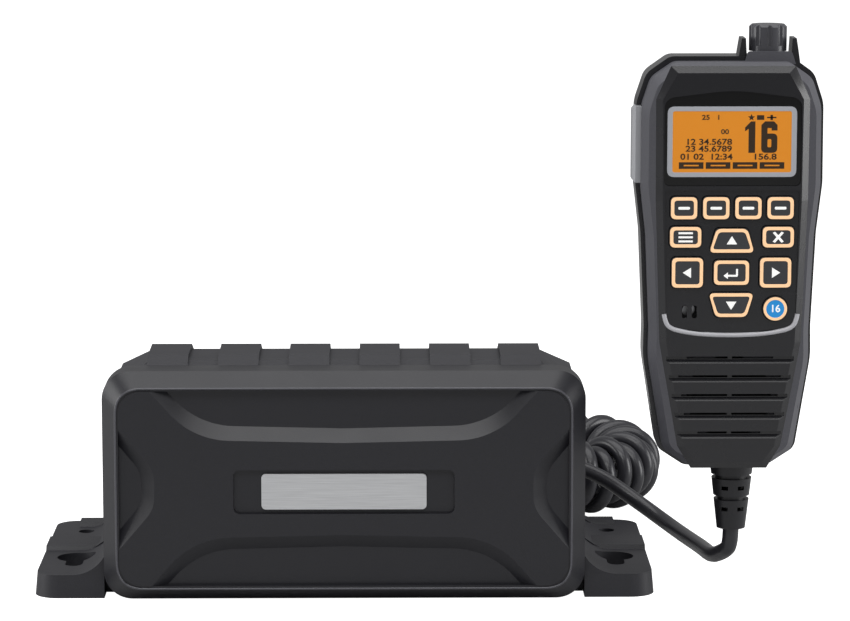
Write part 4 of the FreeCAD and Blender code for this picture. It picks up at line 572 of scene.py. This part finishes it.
@dataclass
class Studio:
    """Camera, floor and soft light.

    Args:
        camera: the camera's place in metres.
        tilt: its pitch from straight down, in degrees.
        turn: its turn about Z, in degrees.
        lens: its focal length in mm.
        sensor: its sensor's width in mm.
        sight: how far it sees, in metres.
        picture: the picture's width and height in pixels.
        floor_reach: from the middle of the floor to its edge, in metres.
        surround: the white surround's light on the object, where 1 is what the camera sees of it.
    """

    camera: Point = (0.01564, -1.31565, 0.30449)
    tilt: float = 81.192
    turn: float = -0.636
    lens: float = 148.93
    sensor: float = 36.0
    sight: float = 20.0
    picture: tuple[int, int] = (850, 621)
    floor_reach: float = 8.0
    surround: float = 0.3

    def build(self) -> None:
        """Sets the camera, the floor, the lamps and the render settings."""
        scene = bpy.context.scene
        view = bpy.data.cameras.new("camera")
        view.lens = self.lens
        view.sensor_width = self.sensor
        view.clip_end = self.sight
        eye = bpy.data.objects.new("camera", view)
        eye.location = self.camera
        eye.rotation_euler = (math.radians(self.tilt), 0.0, math.radians(self.turn))
        scene.collection.objects.link(eye)
        scene.camera = eye
        scene.render.resolution_x, scene.render.resolution_y = self.picture
        scene.view_settings.view_transform = "Standard"
        self.floor()
        for softbox in SOFTBOXES:
            softbox.build()
        world = bpy.data.worlds.new("studio")
        world.use_nodes = True
        world.node_tree.nodes.clear()
        tree = world.node_tree
        sky = add_node(tree, "ShaderNodeBackground", {"Color": (1.0, 1.0, 1.0, 1.0),
                                                      "Strength": seen(tree, self.surround, 1.0)})
        add_node(tree, "ShaderNodeOutputWorld", {"Surface": sky.outputs["Background"]})
        scene.world = world

    def floor(self) -> None:
        """Adds the plain floor."""
        mesh = bpy.data.meshes.new("floor")
        far = self.floor_reach
        corners = [(-far, -far, 0), (far, -far, 0), (far, far, 0), (-far, far, 0)]
        mesh.from_pydata(corners, [], [(0, 1, 2, 3)])
        floor = bpy.data.objects.new("floor", mesh)
        mesh.materials.append(material(FLOOR_PALE))
        bpy.context.scene.collection.objects.link(floor)


@dataclass
class Cord:
    """The handset's cord: a straight lead, the curly part and the tail to the plug.

    Args:
        diameter: the cord's diameter in mm.
        coil_radius: from the curly part's axis to the cord's middle.
        stagger: how far alternate turns stand in and out.
        turns: the number of turns.
        pitch: the axis length of one turn.
        bend: the radius of the curly part's U.
        bend_x: the U's middle in X.
        front_y: the Y of the curly part's front strand.
        hand: X and Y of the strain relief, and Z of its foot.
        plug: the place where the tail meets the plug's boot.
        steps: control points in each turn.
        floor_gap: the clear height under the curly part.
    """

    diameter: float = 6.0
    coil_radius: float = 11.0
    stagger: float = 2.2
    turns: int = 36
    pitch: float = 6.85
    bend: float = 37.0
    bend_x: float = 79.5
    front_y: float = 96.5
    hand: Point = (143.6, -36.0, 24.6)
    plug: Point = (-44.0, 90.4, 40.0)
    steps: int = 16
    floor_gap: float = 0.1

    @property
    def strand(self) -> float:
        """The length of each straight strand of the curly part."""
        return (self.turns * self.pitch - math.pi * self.bend) / 2

    def turn_point(self, turn: float) -> Point:
        """A point of the helix.

        Args:
            turn: turns from the start.

        Returns:
            X, Y and Z in mm.
        """
        run = turn * self.pitch
        angle = math.pi / 2 + 2 * math.pi * turn
        radius = self.coil_radius + self.stagger * math.sin(angle / 2)
        out = radius * math.cos(angle)
        middle = self.coil_radius + self.stagger * math.sqrt(0.5) + self.diameter / 2 + self.floor_gap
        z = middle + radius * math.sin(angle)
        if run < self.strand:
            return self.bend_x - self.strand + run, self.front_y - out, z
        if run > self.strand + math.pi * self.bend:
            back = run - self.strand - math.pi * self.bend
            return self.bend_x - back, self.front_y + 2 * self.bend + out, z
        sweep = (run - self.strand) / self.bend
        reach = self.bend + out
        return (self.bend_x + reach * math.sin(sweep), self.front_y + self.bend - reach * math.cos(sweep), z)

    def build(self) -> None:
        """Makes the three free cords."""
        first = self.turn_point(0)
        last = self.turn_point(self.turns)
        start = (first[0], first[1] - self.diameter, first[2])
        end = (last[0], last[1] - self.diameter, last[2])
        helix = [self.turn_point(i / self.steps) for i in range(self.turns * self.steps + 1)]
        coil = wire("curly cord", [start] + helix + [end], self.diameter / 2)
        link(coil, CORD_SKIN, Body.RADIO.value)
        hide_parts("cord_coil")
        self.lead(start)
        tail = wire("cord tail", self.tail_points(end), self.diameter / 2)
        link(tail, CORD_SKIN, Body.RADIO.value)
        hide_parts("cord_tail")

    def lead(self, start: Point) -> None:
        """The lead from the strain relief to the curly part.

        Args:
            start: where the curly part begins.
        """
        x, y, z = self.hand
        points = [
            (x, y, z), (x, y, z - 7.0), (x - 2.0, y + 4.0, 14.4), (x - 5.6, y + 13.0, 10.6),
            (136.6, 1.0, 8.4), (132.6, 27.0, 6.8), (127.6, 49.0, 6.9), (116.2, 63.0, 13.2),
            (98.0, 69.0, 25.2), (72.0, 69.0, 31.5), (45.0, 67.0, 32.5), (24.0, 66.5, 30.0),
            (start[0], start[1] - 15.5, start[2]), start,
        ]
        bare = wire("lead line", points, 0.0)
        bare.data.bevel_resolution = 0
        line = bpy.data.meshes.new_from_object(bare)
        full = wire("cord lead shape", points, self.diameter / 2)
        mesh = bpy.data.meshes.new_from_object(full)
        mesh.name = "cord lead"
        for face in mesh.polygons:
            face.use_smooth = True
        lead = bpy.data.objects.new("cord_lead_shown", mesh)
        bpy.context.scene.collection.objects.link(lead)
        mesh.materials.clear()
        mesh.materials.append(material(CORD_SKIN))
        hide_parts("cord_lead")
        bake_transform(lead)

    def tail_points(self, end: Point) -> list[Point]:
        """The tail's control points.

        Args:
            end: where the curly part ends.

        Returns:
            Points in mm, as in the part's source.
        """
        x, y, z = end
        px, py, pz = self.plug
        top = y + self.diameter
        return [end, (x, top - 19.0, z), (x - 10.0, top - 33.0, 13.0), (x - 30.0, top - 37.0, 4.4),
                (px + 7.0, py + 38.0, 7.0), (px, py + 28.0, 23.0), (px, py + 14.0, pz), (px, py, pz)]

    @staticmethod
    def metres(point: Point) -> Point:
        """A point in mm, in metres."""
        return point[0] * MM, point[1] * MM, point[2] * MM


@dataclass
class Transceiver:
    """The fine pieces on the transceiver.

    Args:
        face_y: the Y of the cover's front plane in mm.
        face: half width, bottom and top of the flat face in mm.
        corner: the face's corner radius.
        bead_radius: the bead's wire.
        bead_sunk: how far the bead's middle lies behind the front plane.
        thread_at: where the antenna socket's thread starts.
        thread_radius: from the socket's axis to the thread's middle.
        thread_pitch: the thread's advance in one turn.
        thread_turns: its number of turns.
        thread_wire: the radius of its wire.
    """

    face_y: float = -55.0
    face: tuple[float, float, float] = (83.4, 5.8, 80.4)
    corner: float = 10.0
    bead_radius: float = 0.42
    bead_sunk: float = 0.25
    thread_at: Point = (52.0, 59.0, 52.5)
    thread_radius: float = 7.75
    thread_pitch: float = 1.06
    thread_turns: int = 11
    thread_wire: float = 0.42

    def build(self) -> None:
        """Adds the bead round the face and the antenna thread."""
        half, low, high = self.face
        ring = rounded([(-half, low), (half, low), (half, high), (-half, high)], self.corner, 8)
        bead_y = self.face_y + self.bead_sunk
        bead = wire("face bead", [(x, bead_y, z) for x, z in ring], self.bead_radius, 3, closed=True)
        # The bead's light colour is a painted highlight line round the face.
        link(bead, BEAD_PAINTED_HIGHLIGHT, Body.RADIO.value)
        x, y, z = self.thread_at
        count = 14
        radius = self.thread_radius
        steps = [i / count for i in range(self.thread_turns * count + 1)]
        spiral = [(x + radius * math.cos(2 * math.pi * t), y + self.thread_pitch * t,
                   z + radius * math.sin(2 * math.pi * t)) for t in steps]
        thread = wire("antenna thread", spiral, self.thread_wire, 2)
        link(thread, NICKEL, Body.RADIO.value)


@dataclass(frozen=True)
class Key:
    """One key's face.

    Args:
        node: the CAD node.
        out: its middle, from the handset's middle.
        high: its middle above the handset's bottom.
        size: width and height in mm.
        foot: how much narrower each lower corner is.
        head: how much narrower each upper corner is.
        mark: the plain sign on it.
    """

    node: str
    out: float
    high: float
    size: tuple[float, float]
    foot: float = 0.0
    head: float = 0.0
    mark: str = "dash"


KEYS = tuple(Key(f"soft_key_{i + 1}", (i - 1.5) * 11.65, 97.4, (9.8, 8.3)) for i in range(4)) + (
    Key("list_key", -16.8, 86.8, (11.6, 7.8), mark="lines"),
    Key("cancel_key", 16.8, 86.8, (11.6, 7.8), mark="cross"),
    Key("up_key", 0.0, 85.5, (16.6, 9.0), head=2.6, mark="up"),
    Key("down_key", 0.0, 61.9, (16.6, 9.0), foot=2.6, mark="down"),
    Key("left_key", -16.0, 73.8, (11.6, 11.2), mark="left"),
    Key("right_key", 16.0, 73.8, (11.6, 11.2), mark="right"),
    Key("enter_key", 0.0, 73.8, (13.0, 9.2), mark="return"),
)


@dataclass(frozen=True)
class Row:
    """One row of plain figures on the display.

    Args:
        words: the figures.
        height: the height of a figure in mm.
        out: its middle, from the display's middle.
        high: its middle above the display's middle.
        wide: the figures' width against the plain letter form.
    """

    words: str
    height: float
    out: float
    high: float
    wide: float


ROWS = (
    Row("12 34.5678", 2.1, -8.4, -0.1, 1.25), Row("23 45.6789", 2.1, -8.4, -2.6, 1.25),
    Row("01 02  12:34", 2.1, -9.2, -5.5, 1.25), Row("156.8", 2.1, 11.9, -5.5, 1.3),
    Row("25   1", 1.7, -7.6, 8.8, 1.2), Row("00", 1.7, -2.6, 3.6, 1.2),
)


@dataclass
class Handset:
    """The fine pieces on the handset: display, key faces and the ledge.

    Args:
        mid: X of its middle in mm.
        bottom: Z of its lower end.
        key_front: Y of the key caps' faces.
        window_front: Y of the window's face.
        panel_front: Y of the panel's face.
        rim_proud: how far a key's lit rim stands before the cap.
        centre_proud: how far a key's dark centre does.
        mark_proud: how far its sign does.
        round_at: the round key's middle from the handset's middle, and above its bottom.
        round_radii: the outer and inner radius of its rim.
        display_at: the display's middle in the same way.
        display_frame: width and height of the display's grey frame.
        display_light: width and height of the lit field in it.
        print_thick: how thick the display's print is.
        print_step: how far each stroke of the large number lies before the one under it.
        lip_radius: the panel lip's wire.
    """

    mid: float = 140.9
    bottom: float = 48.8
    key_front: float = -53.5
    window_front: float = -52.3
    panel_front: float = -53.0
    rim_proud: float = 0.3
    centre_proud: float = 0.12
    mark_proud: float = 0.2
    round_at: tuple[float, float] = (16.1, 60.5)
    round_radii: tuple[float, float] = (4.3, 3.3)
    display_at: tuple[float, float] = (-0.3, 121.4)
    display_frame: tuple[float, float] = (46.8, 25.6)
    display_light: tuple[float, float] = (43.0, 22.2)
    print_thick: float = 0.04
    print_step: float = 0.02
    lip_radius: float = 0.85

    def build(self) -> None:
        """Adds all fine pieces of the handset."""
        for key in KEYS:
            self.key_face(key)
        self.round_key()
        self.display()
        self.ledge()

    def at(self, out: float, high: float) -> tuple[float, float]:
        """X and Z of a place on the handset's face."""
        return self.mid + out, self.bottom + high

    @staticmethod
    def put(name: str, outline: Outline, front: float, thick: float, finish: Finish, body: str,
            slot: str, hole: Outline | None = None, edge: float = 0.0) -> bpy.types.Object:
        """Adds one plate.

        Args:
            name: its name.
            outline: X-Z outline in mm.
            front: Y of its face in mm.
            thick: thickness in mm.
            finish: its finish.
            body: the body that it rides on.
            slot: not used.
            hole: an opening in it.
            edge: rounding of its edges in mm.

        Returns:
            The piece.
        """
        thing = plate(name, outline, front, thick, hole)
        if edge:
            soften(thing, edge)
        return link(thing, finish, body)

    def key_face(self, key: Key) -> None:
        """Adds a key's lit rim, dark centre and mark.

        Args:
            key: the key.
        """
        x, z = self.at(key.out, key.high)
        half_w, half_h = key.size[0] / 2, key.size[1] / 2
        corners = [(x - half_w + key.foot, z - half_h), (x + half_w - key.foot, z - half_h),
                   (x + half_w - key.head, z + half_h), (x - half_w + key.head, z + half_h)]
        body = key.node + "_body"
        outer = rounded(inset(corners, 0.15), 1.9)
        inner = rounded(inset(corners, 1.35), 1.2)
        label = key.node.replace("_", " ")
        rim_y = self.key_front - self.rim_proud
        self.put(label + " rim", outer, rim_y, 0.32, KEY_RIM, body, "key_dark", inner, 0.1)
        centre_y = self.key_front - self.centre_proud
        self.put(label + " centre", inner, centre_y, 0.14, KEY_DARK, body, "key_dark")
        mark_y = self.key_front - self.mark_proud
        for i, shape in enumerate(self.mark(key.mark, x, z)):
            self.put(f"{label} mark {i + 1}", shape, mark_y, 0.1, KEY_WHITE, body, "key_dark")

    @staticmethod
    def mark(kind: str, x: float, z: float) -> list[Outline]:
        """The outlines of a plain sign.

        Args:
            kind: which sign.
            x: its middle.
            z: its middle.

        Returns:
            One outline for each stroke.
        """
        arrows = {"up": (0, 1), "down": (0, -1), "left": (-1, 0), "right": (1, 0)}
        if kind in arrows:
            dx, dz = arrows[kind]
            tip, back, half = 1.7, 1.3, 1.9
            return [[(x + dx * tip, z + dz * tip), (x - dx * back - dz * half, z - dz * back + dx * half),
                     (x - dx * back + dz * half, z - dz * back - dx * half)]]
        if kind == "lines":
            return [block(x, z + step, 5.2, 0.7) for step in (-1.5, 0.0, 1.5)]
        if kind == "cross":
            reach, thin = 1.6, 0.42
            return [[(x - reach - thin, z - s * reach), (x - reach + thin, z - s * (reach + thin)),
                     (x + reach + thin, z + s * reach), (x + reach - thin, z + s * (reach + thin))]
                    for s in (-1, 1)]
        if kind == "return":
            return [block(x + 0.4, z - 1.1, 3.6, 0.7), block(x + 2.0, z + 0.2, 0.7, 2.4),
                    [(x - 2.9, z - 1.1), (x - 1.3, z - 2.3), (x - 1.3, z + 0.1)]]
        return [rounded(block(x, z, 4.2, 1.0), 0.4, 3)]

    def round_key(self) -> None:
        """Adds the round blue key's rim, centre and figures."""
        x, z = self.at(*self.round_at)
        body = "channel_16_key_body"
        outer, inner = [disc(x, z, radius) for radius in self.round_radii]
        rim_y = self.key_front - self.rim_proud
        self.put("round key rim", outer, rim_y, 0.32, KEY_RIM, body, "key_blue", inner, 0.1)
        self.put("round key centre", inner, self.key_front - 0.14, 0.16, KEY_BLUE, body, "key_blue")
        number = figures("round key figures", "16", 2.6, (x, self.key_front - 0.18, z))
        link(number, KEY_WHITE, body)

    def display(self) -> None:
        """Adds the display's frame, glow and plain figures."""
        body = Body.HANDSET.value
        face = self.window_front
        x, z = self.at(*self.display_at)
        frame_out = rounded(block(x, z, *self.display_frame), 2.6)
        frame_in = rounded(block(x, z, *self.display_light), 0.8)
        self.put("display frame", frame_out, face - 0.18, 0.2, FRAME_GREY, body, "lcd", frame_in, 0.08)
        self.put("display glow", frame_in, face - 0.06, 0.08, AMBER, body, "lcd")
        print_y = face - 0.09
        for i, row in enumerate(ROWS):
            at = (x + row.out, print_y, z + row.high)
            words = figures(f"display figures {i + 1}", row.words, row.height, at, row.wide)
            link(words, LCD_DARK, body)
        thick = self.print_thick
        for i, (shape, hole) in enumerate(self.number_shapes(x + 10.65, z + 1.7)):
            shape_y = print_y - self.print_step * i
            self.put(f"display number {i + 1}", shape, shape_y, thick, LCD_DARK, body, "lcd", hole)
        signs = (star(x + 6.9, z + 8.8, 1.3), block(x + 10.2, z + 8.8, 2.6, 1.7),
                 block(x + 14.2, z + 8.8, 3.4, 0.5), block(x + 14.2, z + 8.8, 0.9, 1.9))
        for i, shape in enumerate(signs):
            self.put(f"display mark {i + 1}", shape, print_y, thick, LCD_DARK, body, "lcd")
        for i in range(4):
            px, pz = x - 14.7 + i * 9.75, z - 8.6
            field = block(px, pz, 8.9, 2.4)
            self.put(f"display field {i + 1}", field, print_y, thick, LCD_DARK, body, "lcd")
            bar = block(px, pz, 5.4, 0.5)
            self.put(f"display field mark {i + 1}", bar, print_y - 0.03, 0.05, AMBER, body, "lcd")

    @staticmethod
    def number_shapes(x: float, z: float) -> list[tuple[Outline, Outline | None]]:
        """The large channel number, in plain blocky strokes.

        Args:
            x: its middle in mm.
            z: its middle in mm.

        Returns:
            Outlines, each with the opening in it or None.
        """
        one = [(-4.7, -5.7), (-2.3, -5.7), (-2.3, 5.7), (-3.9, 5.7), (-6.0, 3.5), (-6.0, 2.1), (-4.7, 3.0)]
        stroke = [(-0.1, -1.0), (2.1, -1.0), (2.1, 3.3), (3.6, 3.3), (3.6, 2.4), (5.7, 2.4), (5.7, 4.4),
                  (4.4, 5.7), (1.2, 5.7), (-0.1, 4.4)]
        loop = rounded(block(x + 2.8, z - 2.2, 5.8, 7.0), 1.7)
        eye = rounded(block(x + 2.85, z - 2.2, 1.4, 3.0), 0.5)
        placed = [[(x + u, z + v) for u, v in points] for points in (one, stroke)]
        return [(placed[0], None), (loop, eye), (placed[1], None)]

    def ledge(self) -> None:
        """Adds the curved lip between the keys and the grille, coloured pale as a painted highlight."""
        half = [(0.0, 50.7), (6.0, 50.8), (12.0, 51.2), (18.0, 52.1), (21.6, 53.1), (23.7, 55.0),
                (24.3, 58.5)]
        line = [(-u, v) for u, v in half[:0:-1]] + half
        points = [(self.mid + u, self.panel_front + 0.35, self.bottom + v) for u, v in line]
        lip = wire("panel lip", points, self.lip_radius, 5)
        # The lip's pale colour is a painted highlight, not the plastic's own colour.
        link(lip, LIP_PAINTED_HIGHLIGHT, Body.HANDSET.value)


def main() -> None:
    """Builds the whole scene."""
    logging.basicConfig(level=logging.INFO)
    Studio().build()
    Cord().build()
    for name, finish in NODE_FINISHES.items():
        paint(name, finish)
    for name in KEY_NODES:
        paint(name, KEY_DARK)
    Transceiver().build()
    Handset().build()


if __name__ == "__main__":
    main()
